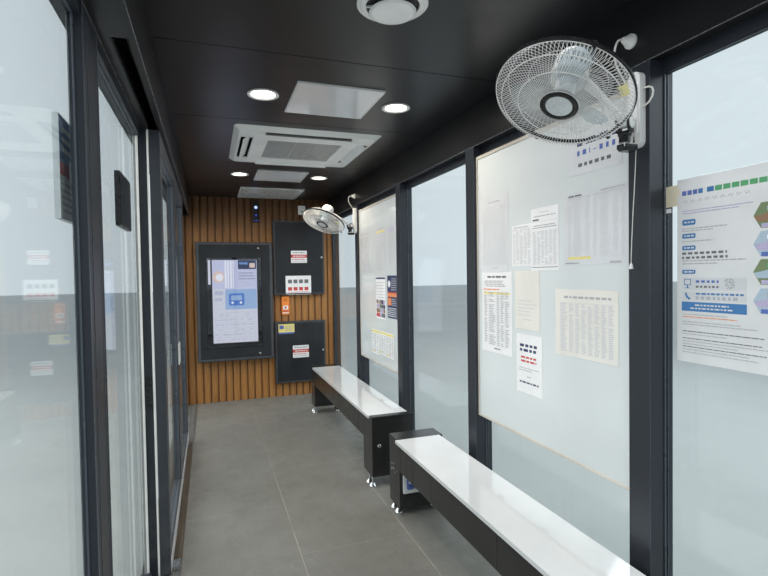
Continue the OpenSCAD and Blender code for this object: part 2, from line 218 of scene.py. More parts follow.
M["base"] = satin("base_steel", (0.06, 0.062, 0.066), (0.5, 0.7), 0.2, 0.3, 3, 0.2, 300, dust=0.8)
M["steel"] = satin("stainless", (0.60, 0.61, 0.62), (0.16, 0.34), 1.0, 0.10, 40, 0.12, 500)
M["chrome"] = satin("bright_trim", (0.74, 0.75, 0.77), (0.07, 0.16), 1.0, 0.05, 30, 0.02, 500)
M["white"] = satin("white_plastic", (0.74, 0.755, 0.75), (0.28, 0.42), 0.0, 0.05, 6, 0.05, 700)
# white for real white parts, also used as painted highlight strips on the jamb and leaf edges
M["white_line"] = satin("white_plastic_and_edge_highlight", (0.80, 0.80, 0.77), (0.35, 0.5), 0.0, 0.06, 8, 0.05, 600)
M["panel"] = satin("pale_panel", (0.62, 0.64, 0.67), (0.06, 0.12), 0.0, 0.04, 3, 0.01, 500, coat=0.3)
M["hatch"] = satin("hatch_paint", (0.42, 0.42, 0.41), (0.25, 0.36), 0.0, 0.06, 4, 0.04, 700)
M["cab"] = satin("cabinet_paint", (0.0195, 0.0215, 0.0255), (0.30, 0.42), 0.1, 0.14, 5, 0.10, 900)
M["cab_edge"] = satin("cabinet_edge", (0.060, 0.065, 0.073), (0.30, 0.42), 0.1, 0.12, 5, 0.10, 900)
# pale border colour used as a painted highlight on the cabinet and case edges
M["cab_line"] = satin("cabinet_border_highlight", (0.066, 0.071, 0.079), (0.28, 0.40), 0.2, 0.10, 5, 0.05, 900)
M["black"] = satin("black_plastic", (0.012, 0.012, 0.013), (0.22, 0.36), 0.0, 0.2, 12, 0.06, 900)
M["gap"] = satin("gap_black", (0.003, 0.003, 0.003), (0.6, 0.8), 0.0, 0.2, 12, 0.02, 900)
M["bench_black"] = satin("bench_black", (0.0185, 0.0188, 0.0186), (0.20, 0.27), 0.0, 0.08, 2.0, 0.02, 900, dust=0.04, spec=0.45)
M["board"] = satin("board_face", (0.60, 0.64, 0.655), (0.10, 0.18), 0.0, 0.03, 1.5, 0.02, 500, coat=0.2)
M["board_frame"] = satin("board_frame", (0.64, 0.60, 0.54), (0.3, 0.42), 0.3, 0.06, 6, 0.05, 900)
M["cable"] = satin("white_cable", (0.66, 0.66, 0.63), (0.45, 0.6), 0.0, 0.08, 40, 0.1, 900)
M["orange"] = satin("orange_plastic", (0.80, 0.24, 0.045), (0.25, 0.38), 0.0, 0.08, 20, 0.06, 900)
M["sign"] = satin("sign_white", (0.74, 0.76, 0.78), (0.25, 0.38), 0.0, 0.04, 5, 0.04, 700)
M["glass"] = clear("clear_glass")
M["dark_glass"] = clear("dark_glass", (0.80, 0.81, 0.84), 0.0, 0.02, 1.0)
M["lens"] = lit("lamp_lens", (1.0, 0.93, 0.80), 9.0)
M["fan_black"] = satin("fan_black", (0.012, 0.012, 0.013), (0.18, 0.30), 0.0, 0.15, 30, 0.05, 900)
M["wire"] = satin("guard_wire", (0.74, 0.74, 0.73), (0.18, 0.28), 0.2, 0.06, 30, 0.02, 900)


def mat_floor():
    t = NT("floor_stone")
    x, y, z = t.xyz()
    big = t.ramp(t.noise(0.9, 5, 0.6), 0.32, 0.68)
    mid = t.ramp(t.noise(5.5, 7, 0.68, dist=0.4), 0.30, 0.72)
    fine = t.ramp(t.noise(140, 4, 0.7), 0.30, 0.70)
    col = t.mix(big, (0.150, 0.145, 0.128), (0.205, 0.200, 0.185))
    col = t.mix(t.math("MULTIPLY", mid, 0.55), col, (0.120, 0.113, 0.098))
    col = t.mix(t.math("MULTIPLY", fine, 0.35), col, (0.26, 0.255, 0.24))
    grain = t.ramp(t.noise(1, 3, 0.6, t.vec(t.math("MULTIPLY", x, 60), t.math("MULTIPLY", y, 260), 0.0)), 0.3, 0.7)
    col = t.mix(t.math("MULTIPLY", grain, 0.20), col, (0.10, 0.098, 0.09))
    # tile joints, 600 mm apart across the shelter
    yy = t.math("ADD", y, 0.1825 + 6.0)
    jy = t.math("ABSOLUTE", t.math("SUBTRACT", t.math("FRACT", t.math("DIVIDE", yy, 0.6)), 0.5))
    ly = t.ramp(jy, 0.4965, 0.4985)
    row = t.math("FLOOR", t.math("DIVIDE", t.math("ADD", yy, 0.0), 0.6))
    shift = t.math("MULTIPLY", t.math("MODULO", row, 2.0), 0.6)
    xx = t.math("ADD", t.math("ADD", x, 6.0 - 0.005), shift)
    jx = t.math("ABSOLUTE", t.math("SUBTRACT", t.math("FRACT", t.math("DIVIDE", xx, 1.2)), 0.5))
    lx = t.ramp(jx, 0.49825, 0.49925)
    worn = t.ramp(t.noise(9, 4, 0.6), 0.30, 0.62, 0.25, 1.0)
    line = t.math("MULTIPLY", t.math("MAXIMUM", ly, t.math("MULTIPLY", lx, 0.6)), worn)
    col = t.mix(t.math("MULTIPLY", line, 0.75), col, (0.46, 0.44, 0.39))
    # dirt, lighter scuffs and small spots
    st = t.ramp(t.noise(3.1, 6, 0.7, dist=1.2), 0.56, 0.74)
    col = t.mix(t.math("MULTIPLY", st, 0.42), col, (0.075, 0.066, 0.052))
    sc = t.math("MULTIPLY", t.ramp(t.noise(1, 5, 0.7, t.vec(t.math("MULTIPLY", x, 6), t.math("MULTIPLY", y, 40), 3.0)), 0.62, 0.76),
                t.ramp(t.noise(2.2, 2), 0.45, 0.62))
    col = t.mix(t.math("MULTIPLY", sc, 0.5), col, (0.36, 0.34, 0.30))
    spots = t.math("MULTIPLY", t.ramp(t.voro(34), 0.06, 0.13, 1, 0), t.ramp(t.noise(4, 3), 0.55, 0.66))
    col = t.mix(t.math("MULTIPLY", spots, 0.55), col, (0.42, 0.41, 0.37))
    rg = t.ramp(mid, 0, 1, 0.36, 0.56)
    h = t.math("SUBTRACT", t.math("MULTIPLY", fine, 0.5), t.math("MULTIPLY", line, 1.5))
    return t.done(t.pbr(col, rg, 0.0, t.bump(h, 0.35, 0.0008)))


def mat_sill():
    t = NT("threshold_metal")
    x, y, z = t.xyz()
    wood = t.noise(1, 5, 0.65, t.vec(t.math("MULTIPLY", x, 3.0), t.math("MULTIPLY", y, 60), 0.0))
    brown = t.mix(t.ramp(wood, 0.3, 0.7), (0.055, 0.040, 0.026), (0.135, 0.108, 0.078))
    grey = t.mix(t.ramp(wood, 0.3, 0.7), (0.10, 0.10, 0.098), (0.20, 0.198, 0.19))
    mid = t.math("MULTIPLY", t.ramp(x, -1.96, -1.94), t.ramp(x, -0.11, -0.09, 1, 0))
    col = t.mix(mid, grey, brown)
    dirt = t.ramp(t.noise(24, 6, 0.7), 0.5, 0.72)
    col = t.mix(t.math("MULTIPLY", dirt, 0.5), col, (0.03, 0.026, 0.02))
    return t.done(t.pbr(col, t.ramp(wood, 0.2, 0.8, 0.35, 0.6), 0.3, t.bump(wood, 0.4, 0.001)))


def mat_slat():
    t = NT("slat_brown")
    x, y, z = t.xyz()
    one = t.math("FLOOR", t.math("DIVIDE", t.math("ADD", y, 8.18 + 0.031), 0.0818))
    tone = t.n("TexWhiteNoise", {"W": one}, noise_dimensions="1D").outputs[0]
    grain = t.noise(1, 6, 0.65, t.vec(t.math("MULTIPLY", x, 80), t.math("ADD", t.math("MULTIPLY", y, 80), t.math("MULTIPLY", tone, 9)),
                                      t.math("MULTIPLY", z, 3.0)), 0.3)
    fine = t.noise(1, 3, 0.6, t.vec(t.math("MULTIPLY", x, 500), t.math("MULTIPLY", y, 500), t.math("MULTIPLY", z, 14)))
    col = t.mix(t.ramp(grain, 0.3, 0.7), (0.285, 0.124, 0.031), (0.470, 0.222, 0.066))
    col = t.mix(t.math("MULTIPLY", tone, 0.30), col, (0.20, 0.088, 0.028))
    col = t.mix(t.math("MULTIPLY", t.ramp(fine, 0.4, 0.7), 0.35), col, (0.13, 0.052, 0.016))
    # painted shade: the slats darken towards the groove bottoms, near the backing
    col = t.mix(t.math("MULTIPLY", t.ramp(x, -3.524, -3.516, 1, 0), 0.5), col, (0.055, 0.022, 0.008))
    # painted shade: the slats darken towards the ceiling, in place of the shadow under the header
    col = t.mix(t.math("MULTIPLY", t.ramp(z, 1.70, 2.40, 0, 1), 0.80), col, (0.040, 0.016, 0.007))
    return t.done(t.pbr(col, t.ramp(grain, 0.2, 0.8, 0.38, 0.55), 0.0, t.bump(fine, 0.25, 0.0006)))


def mat_bench_top():
    t = NT("bench_white")
    x, y, z = t.xyz()
    cloud = t.ramp(t.noise(3, 5, 0.6), 0.35, 0.65)
    col = t.mix(cloud, (0.58, 0.59, 0.60), (0.62, 0.625, 0.63))
    dirt = t.math("MULTIPLY", t.ramp(t.noise(26, 5, 0.7), 0.58, 0.72), t.ramp(t.noise(4, 3), 0.45, 0.65))
    col = t.mix(t.math("MULTIPLY", dirt, 0.20), col, (0.42, 0.40, 0.36))
    scr = t.ramp(t.noise(1, 4, 0.6, t.vec(t.math("MULTIPLY", x, 12), t.math("MULTIPLY", y, 180), 0.0)), 0.6, 0.75)
    rg = t.math("ADD", t.ramp(cloud, 0, 1, 0.05, 0.10), t.math("MULTIPLY", scr, 0.06))
    return t.done(t.pbr(col, rg, 0.0, None, Coat_Weight=0.5, Coat_Roughness=0.04))


def mat_blade():
    t = NT("blade_blue")
    c = t.mix(t.ramp(t.noise(9, 3), 0.35, 0.65), (0.50, 0.53, 0.545), (0.60, 0.63, 0.645))
    s = t.pbr(c, t.ramp(t.noise(40, 2), 0.3, 0.7, 0.10, 0.18), 0.0, None)
    film = t.n("BsdfTransparent", {"Color": (0.86, 0.92, 0.95, 1)}).outputs[0]
    return t.done(t.n("MixShader", {0: 0.24, 1: film, 2: s}).outputs[0])


def mat_cassette():
    """White housing; painted shade darkens the recess behind the grille and the outlets."""
    t = NT("unit_white")
    x, y, z = t.xyz()
    dx = t.math("ABSOLUTE", t.math("ADD", x, 1.066))
    dy = t.math("ABSOLUTE", t.math("ADD", y, -0.040))
    far = t.math("MAXIMUM", dx, dy)
    # painted shade: fully dark in the outlet band, less dark behind the grille
    deep = t.math("MULTIPLY", t.ramp(z, 2.4530, 2.4560), t.math("MULTIPLY", t.ramp(far, 0.433, 0.436, 1, 0), t.ramp(far, 0.300, 0.302, 0.45, 1)))
    slow = t.ramp(t.noise(4, 3), 0.35, 0.65)
    col = t.mix(slow, (0.66, 0.68, 0.67), (0.70, 0.72, 0.71))
    col = t.mix(deep, col, (0.020, 0.020, 0.021))
    return t.done(t.pbr(col, t.ramp(slow, 0, 1, 0.28, 0.38), 0.0, t.bump(t.noise(700, 2), 0.04, 0.0004)))


M["cassette"] = mat_cassette()
M["floor"], M["sill"], M["slat"], M["bench_top"], M["blade"] = mat_floor(), mat_sill(), mat_slat(), mat_bench_top(), mat_blade()


def paper(name, c=(0.76, 0.77, 0.79), gloss=False):
    t = NT(name)
    fib = t.noise(260, 4, 0.7)
    slow = t.ramp(t.noise(7, 3), 0.35, 0.65)
    col = t.mix(slow, tuple(v * 0.94 for v in c), c)
    col = t.mix(t.math("MULTIPLY", t.ramp(fib, 0.4, 0.7), 0.06), col, tuple(v * 0.8 for v in c))
    rg = t.ramp(slow, 0, 1, 0.08 if gloss else 0.55, 0.2 if gloss else 0.7)
    return t.done(t.pbr(col, rg, 0.0, t.bump(fib, 0.08, 0.0003)))


def ink(name, c, rough=0.55):
    t = NT(name)
    col = t.mix(t.ramp(t.noise(420, 3, 0.7), 0.35, 0.65), tuple(v * 0.85 for v in c), tuple(min(1, v * 1.12) for v in c))
    return t.done(t.pbr(col, t.ramp(t.noise(50, 2), 0.3, 0.7, rough - 0.05, rough + 0.05)))


M["paper"] = paper("paper_white")
M["paper_warm"] = paper("paper_warm", (0.70, 0.69, 0.655))
M["laminate"] = paper("paper_laminated", (0.61, 0.63, 0.66), True)
M["poster"] = paper("poster_paper", (0.64, 0.655, 0.67), True)
M["tag_cream"] = paper("tag_cream", (0.66, 0.60, 0.46))
M["panel_tint"] = paper("panel_tint", (0.55, 0.57, 0.60))
M["ink"] = ink("ink_black", (0.135, 0.14, 0.155))
M["ink_soft"] = ink("ink_grey", (0.37, 0.38, 0.405))
M["ink_pale"] = ink("ink_pale", (0.54, 0.55, 0.575))
M["ink_blue"] = ink("ink_blue", (0.085, 0.14, 0.42))
M["ink_sky"] = ink("ink_sky", (0.045, 0.17, 0.40))
M["ink_red"] = ink("ink_red", (0.52, 0.055, 0.050))
M["ink_yellow"] = ink("ink_yellow", (0.74, 0.64, 0.20))
M["label_pale"] = ink("label_pale", (0.76, 0.70, 0.36))
M["ink_green"] = ink("ink_green", (0.09, 0.36, 0.16))
M["ink_navy"] = ink("ink_navy", (0.035, 0.045, 0.12))
M["ink_orange"] = ink("ink_orange", (0.70, 0.24, 0.09))
M["ink_brown"] = ink("ink_brown", (0.26, 0.15, 0.09))
M["ink_lilac"] = ink("ink_lilac", (0.42, 0.38, 0.56))
M["ink_moss"] = ink("ink_moss", (0.16, 0.22, 0.11))
M["ink_haze"] = ink("ink_haze", (0.36, 0.46, 0.55))
M["cap_pale"] = satin("cap_pale", (0.60, 0.64, 0.66), (0.20, 0.30), 0.1, 0.05, 30, 0.03, 700)
M["grille"] = satin("grille_grey", (0.42, 0.43, 0.43), (0.30, 0.42), 0.1, 0.08, 30, 0.03, 700)
# pale colour used as a painted highlight along the header edges
M["edge_highlight_pale"] = satin("edge_highlight_pale", (0.26, 0.27, 0.29), (0.22, 0.34), 0.5, 0.10, 8, 0.03, 700)
M["lip_grey"] = satin("lip_grey", (0.17, 0.175, 0.185), (0.30, 0.42), 0.3, 0.10, 8, 0.03, 700)
M["kick"] = satin("kick_strip", (0.72, 0.72, 0.75), (0.30, 0.46), 0.4, 0.10, 8, 0.05, 700, dust=0.4)
M["trim_dark"] = satin("trim_dark", (0.020, 0.021, 0.024), (0.16, 0.26), 0.2, 0.10, 12, 0.03, 700)
M["tablet_glass"] = satin("tablet_glass", (0.010, 0.011, 0.013), (0.04, 0.09), 0.0, 0.10, 12, 0.0, 700, coat=0.4)
M["steel_dull"] = satin("steel_dull", (0.26, 0.265, 0.27), (0.34, 0.5), 0.8, 0.10, 20, 0.10, 500, dust=0.5)
M["eye"] = lit("sensor_eye", (0.42, 0.56, 1.0), 1.5)
M["eye_dim"] = lit("sensor_eye_dim", (0.10, 0.11, 0.62), 0.55)
for key, c, e in (("ui_lilac", (0.67, 0.70, 0.90), 0.92), ("ui_pale", (0.80, 0.82, 0.90), 0.92), ("ui_white", (0.93, 0.95, 1.0), 1.0), ("ui_blue", (0.18, 0.36, 0.72), 0.9),
                  ("ui_peach", (0.92, 0.72, 0.62), 0.9), ("ui_grey", (0.34, 0.36, 0.48), 0.8), ("ui_icon", (0.13, 0.28, 0.72), 0.9), ("ui_line", (0.62, 0.66, 0.80), 0.9),
                  ("ui_deep", (0.035, 0.05, 0.13), 0.8), ("ui_sky", (0.42, 0.60, 0.88), 0.9)):
    M[key] = lit(key, c, e * 1.20)

GIVE = {
    "base_beams": "base", "base_crossbars": "base", "floor_deck": "floor", "threshold": "sill", "door_guides": "steel", "front_posts": "frame",
    "rear_posts": "frame", "glazing_rails": "frame", "end_mullion": "frame", "fixed_glass": "glass", "end_wall": "cab",
    "front_header": "header", "rear_header": "header", "end_header": "header", "ceiling": "ceil", "roof_top": "roof", "side_fascia": "roof", "end_fascia": "roof",
    "ac_cassette": "cassette", "ac_vanes": "white", "ceiling_panels": "panel", "downlights": "white", "downlight_lenses": "lens",
    "round_diffuser": "white", "display_case": "cab_edge", "display_screen": "tablet_glass", "display_door": "cab", "display_glass": "dark_glass",
    "upper_cabinet": "cab_edge", "upper_door": "cab", "lower_cabinet": "cab_edge", "lower_door": "cab", "bench_frames": "bench_black",
    "bench_tops": "bench_top", "bench_feet": "steel", "notice_boards": "board", "wall_sensor": "black", "wall_box": "white", "call_device": "orange",
    "info_tablet": "black", "outside_sign": "sign", "cable_glands": "white", "fan_leads": "cable", "pull_cord": "cable",
    "cord_bead": "white", "near_leaf_frame": "leaf", "near_leaf_glass": "glass", "far_leaf_frame": "leaf", "far_leaf_glass": "glass",
    "fan_a_bracket": "white", "fan_a_neck": "fan_black", "fan_a_head": "wire", "fan_a_rotor": "blade",
    "fan_b_bracket": "white", "fan_b_neck": "fan_black", "fan_b_head": "wire", "fan_b_rotor": "blade",
}
for node, key in GIVE.items():
    ob = N[node]
    ob.data.materials.clear()
    ob.data.materials.append(M[key])
for node, w in {"front_posts": 2, "rear_posts": 2, "glazing_rails": 1.5, "near_leaf_frame": 2, "far_leaf_frame": 2, "bench_frames": 2.5,
                "bench_tops": 2, "display_case": 2.5, "display_door": 1.5, "upper_door": 1.5, "lower_door": 1.5, "upper_cabinet": 2,
                "lower_cabinet": 2, "roof_top": 4, "front_header": 2, "rear_header": 2, "end_mullion": 2, "threshold": 1.5,
                "info_tablet": 2, "outside_sign": 1, "ceiling_panels": 1.2, "wall_sensor": 3, "wall_box": 3, "base_beams": 3}.items():
    b = N[node].modifiers.new("edge", "BEVEL")
    b.width = w / 1000
    b.segments = 2
    b.limit_method = "ANGLE"
    b.angle_limit = math.radians(40)
    b.use_clamp_overlap = True


# ------------------------------------------------------------------ mesh helpers
class B:
    """Gathers the faces of one piece, in metres in the row frame."""

    def __init__(self):
        self.v, self.f, self.m, self.s = [], [], [], []

    def add(self, verts, faces, m=0, smooth=False):
        k = len(self.v)
        self.v += [tuple(p) for p in verts]
        self.f += [tuple(i + k for i in fc) for fc in faces]
        self.m += [m] * len(faces)
        self.s += [smooth] * len(faces)

    def box(self, x0, x1, y0, y1, z0, z1, m=0):
        v = [(x, y, z) for x in (x0, x1) for y in (y0, y1) for z in (z0, z1)]
        self.add(v, [(0, 1, 3, 2), (4, 6, 7, 5), (0, 4, 5, 1), (2, 3, 7, 6), (0, 2, 6, 4), (1, 5, 7, 3)], m)

    def obox(self, o, ax, ay, az, m=0):
        """Box from a corner and three edge vectors."""
        o, ax, ay, az = map(Vector, (o, ax, ay, az))
        v = [o + ax * i + ay * j + az * k for i in (0, 1) for j in (0, 1) for k in (0, 1)]
        self.add(v, [(0, 1, 3, 2), (4, 6, 7, 5), (0, 4, 5, 1), (2, 3, 7, 6), (0, 2, 6, 4), (1, 5, 7, 3)], m)

    def quad(self, a, b, c, d, m=0):
        self.add([a, b, c, d], [(0, 1, 2, 3)], m)

    def tube(self, pts, rad, n=8, m=0, closed=False, smooth=True):
        pts = [Vector(p) for p in pts]
        c = len(pts)
        rads = rad if isinstance(rad, (list, tuple)) else [rad] * c
        v, prev = [], None
        for i, p in enumerate(pts):
            a = pts[(i - 1) % c] if closed or i else p
            b = pts[(i + 1) % c] if closed or i < c - 1 else p
            t = (b - a).normalized()
            if prev is None:
                prev = t.orthogonal().normalized()
            side = (prev - t * prev.dot(t))
            side = side.normalized() if side.length > 1e-6 else t.orthogonal().normalized()
            prev = side
            up = t.cross(side)
            v += [p + rads[i] * (math.cos(TAU * k / n) * side + math.sin(TAU * k / n) * up) for k in range(n)]
        fs = []
        for i in range(c if closed else c - 1):
            j = (i + 1) % c
            fs += [(i * n + k, i * n + (k + 1) % n, j * n + (k + 1) % n, j * n + k) for k in range(n)]
        if not closed:
            fs += [tuple(range(n - 1, -1, -1)), tuple((c - 1) * n + k for k in range(n))]
        self.add(v, fs, m, smooth)

    def lathe(self, prof, o, axis, n=48, m=0, smooth=True, a0=0.0, a1=TAU):
        """Profile [(radius, height)] turned about axis through o."""
        o, w = Vector(o), Vector(axis).normalized()
        s = w.orthogonal().normalized()
        q = w.cross(s)
        full = abs(a1 - a0 - TAU) < 1e-6
        cols = n if full else n + 1
        v = []
        for k in range(cols):
            a = a0 + (a1 - a0) * k / n
            d = math.cos(a) * s + math.sin(a) * q
            v += [o + d * rr + w * hh for rr, hh in prof]
        c = len(prof)
        fs = []
        for k in range(n):
            j = (k + 1) % cols
            fs += [(k * c + i, j * c + i, j * c + i + 1, k * c + i + 1) for i in range(c - 1)]
        self.add(v, fs, m, smooth)

    def prism(self, out, o, ux, uy, depth, m=0, smooth=False):
        """Outline [(a, b)] in the plane (ux, uy) at o, extruded by the vector depth."""
        o, ux, uy, depth = Vector(o), Vector(ux), Vector(uy), Vector(depth)
        c = len(out)
        lo = [o + ux * a + uy * b for a, b in out]
        v = lo + [p + depth for p in lo]
        self.add(v, [tuple(range(c - 1, -1, -1)), tuple(range(c, 2 * c))], m)
        self.add(v, [(i, (i + 1) % c, c + (i + 1) % c, c + i) for i in range(c)], m, smooth)

    def make(self, name, mats, body="shelter", bevel=0.0, replaces=(), thick=0.0):
        me = bpy.data.meshes.new(name)
        me.from_pydata(self.v, [], self.f)
        for k in (mats if isinstance(mats, (list, tuple)) else [mats]):
            me.materials.append(M[k] if isinstance(k, str) else k)
        me.polygons.foreach_set("material_index", self.m)
        me.polygons.foreach_set("use_smooth", self.s)
        me.validate()
        me.update()
        ob = bpy.data.objects.new(name, me)
        bpy.context.collection.objects.link(ob)
        if bevel:
            bm = ob.modifiers.new("edge", "BEVEL")
            bm.width = bevel
            bm.segments = 2
            bm.limit_method = "ANGLE"
            bm.angle_limit = math.radians(40)
        if thick:
            so = ob.modifiers.new("thick", "SOLIDIFY")
            so.thickness = thick
            so.offset = -1
        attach(ob, body)
        if replaces:
            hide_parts(*replaces)
        return ob


def rounded(w, h, rad, seg=4):
    """Outline of a rectangle of half sizes w, h with round corners."""
    pts = []
    for cx, cy, a0 in ((w - rad, h - rad, 0), (-w + rad, h - rad, 90), (-w + rad, -h + rad, 180), (w - rad, -h + rad, 270)):
        pts += [(cx + rad * math.cos(math.radians(a0 + 90 * i / seg)), cy + rad * math.sin(math.radians(a0 + 90 * i / seg))) for i in range(seg + 1)]
    return pts


def spline(p, n):
    out = []
    for i in range(len(p) - 1):
        a, b, c, d = (Vector(p[max(0, min(len(p) - 1, j))]) for j in (i - 1, i, i + 1, i + 2))
        for k in range(n + (1 if i == len(p) - 2 else 0)):
            t = k / n
            out.append(0.5 * (2 * b + (c - a) * t + (2 * a - 5 * b + 4 * c - d) * t * t + (3 * b - a - 3 * c + d) * t ** 3))
    return out


# ------------------------------------------------------------------ the pull cord
cord_pts = [(1234, 785, 1965), (1234, 785, 1955), (1233, 785, 1930), (1232, 784, 1890), (1230, 783, 1845), (1228, 782, 1800),
            (1226, 780, 1750), (1224, 779, 1700), (1222, 778, 1650), (1221, 777, 1610), (1220, 777, 1582), (1220, 777, 1572)]
cp = spline([(x / 1000, y / 1000, z / 1000) for x, y, z in cord_pts], 3)
cu = bpy.data.curves.new("pull_string", "CURVE")
cu.dimensions = "3D"
cu.bevel_depth = 0.0015
cu.bevel_resolution = 2
sp = cu.splines.new("POLY")
sp.points.add(len(cp) - 1)
for q, p in zip(sp.points, cp):
    q.co = (*p, 1)
cu.materials.append(M["cable"])
cord_ob = bpy.data.objects.new("pull_string", cu)
bpy.context.collection.objects.link(cord_ob)
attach(cord_ob, "shelter")
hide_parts("pull_cord")

# ------------------------------------------------------------------ wall fans
def turn(g, A, prof, a0, a1, n, m=0, smooth=True):
    """Profile [(radius, height)] turned between two angles in the frame A."""
    full = abs(a1 - a0 - TAU) < 1e-6
    cols = n if full else n + 1
    v = [A @ Vector((rr * math.cos(a0 + (a1 - a0) * k / n), rr * math.sin(a0 + (a1 - a0) * k / n), hh)) for k in range(cols) for rr, hh in prof]
    c = len(prof)
    fs = []
    for k in range(n):
        j = (k + 1) % cols
        fs += [(k * c + i, j * c + i, j * c + i + 1, k * c + i + 1) for i in range(c - 1)]
    if not full and (prof[0] == prof[-1]):
        fs += [tuple(range(c - 2, -1, -1)), tuple((cols - 1) * c + i for i in range(c - 1))]
    g.add(v, fs, m, smooth)


def hoop(g, A, rr, h, w, n=96, sides=6, m=0):
    g.tube([A @ Vector((rr * math.cos(TAU * i / n), rr * math.sin(TAU * i / n), h)) for i in range(n)], w, sides, m, closed=True)


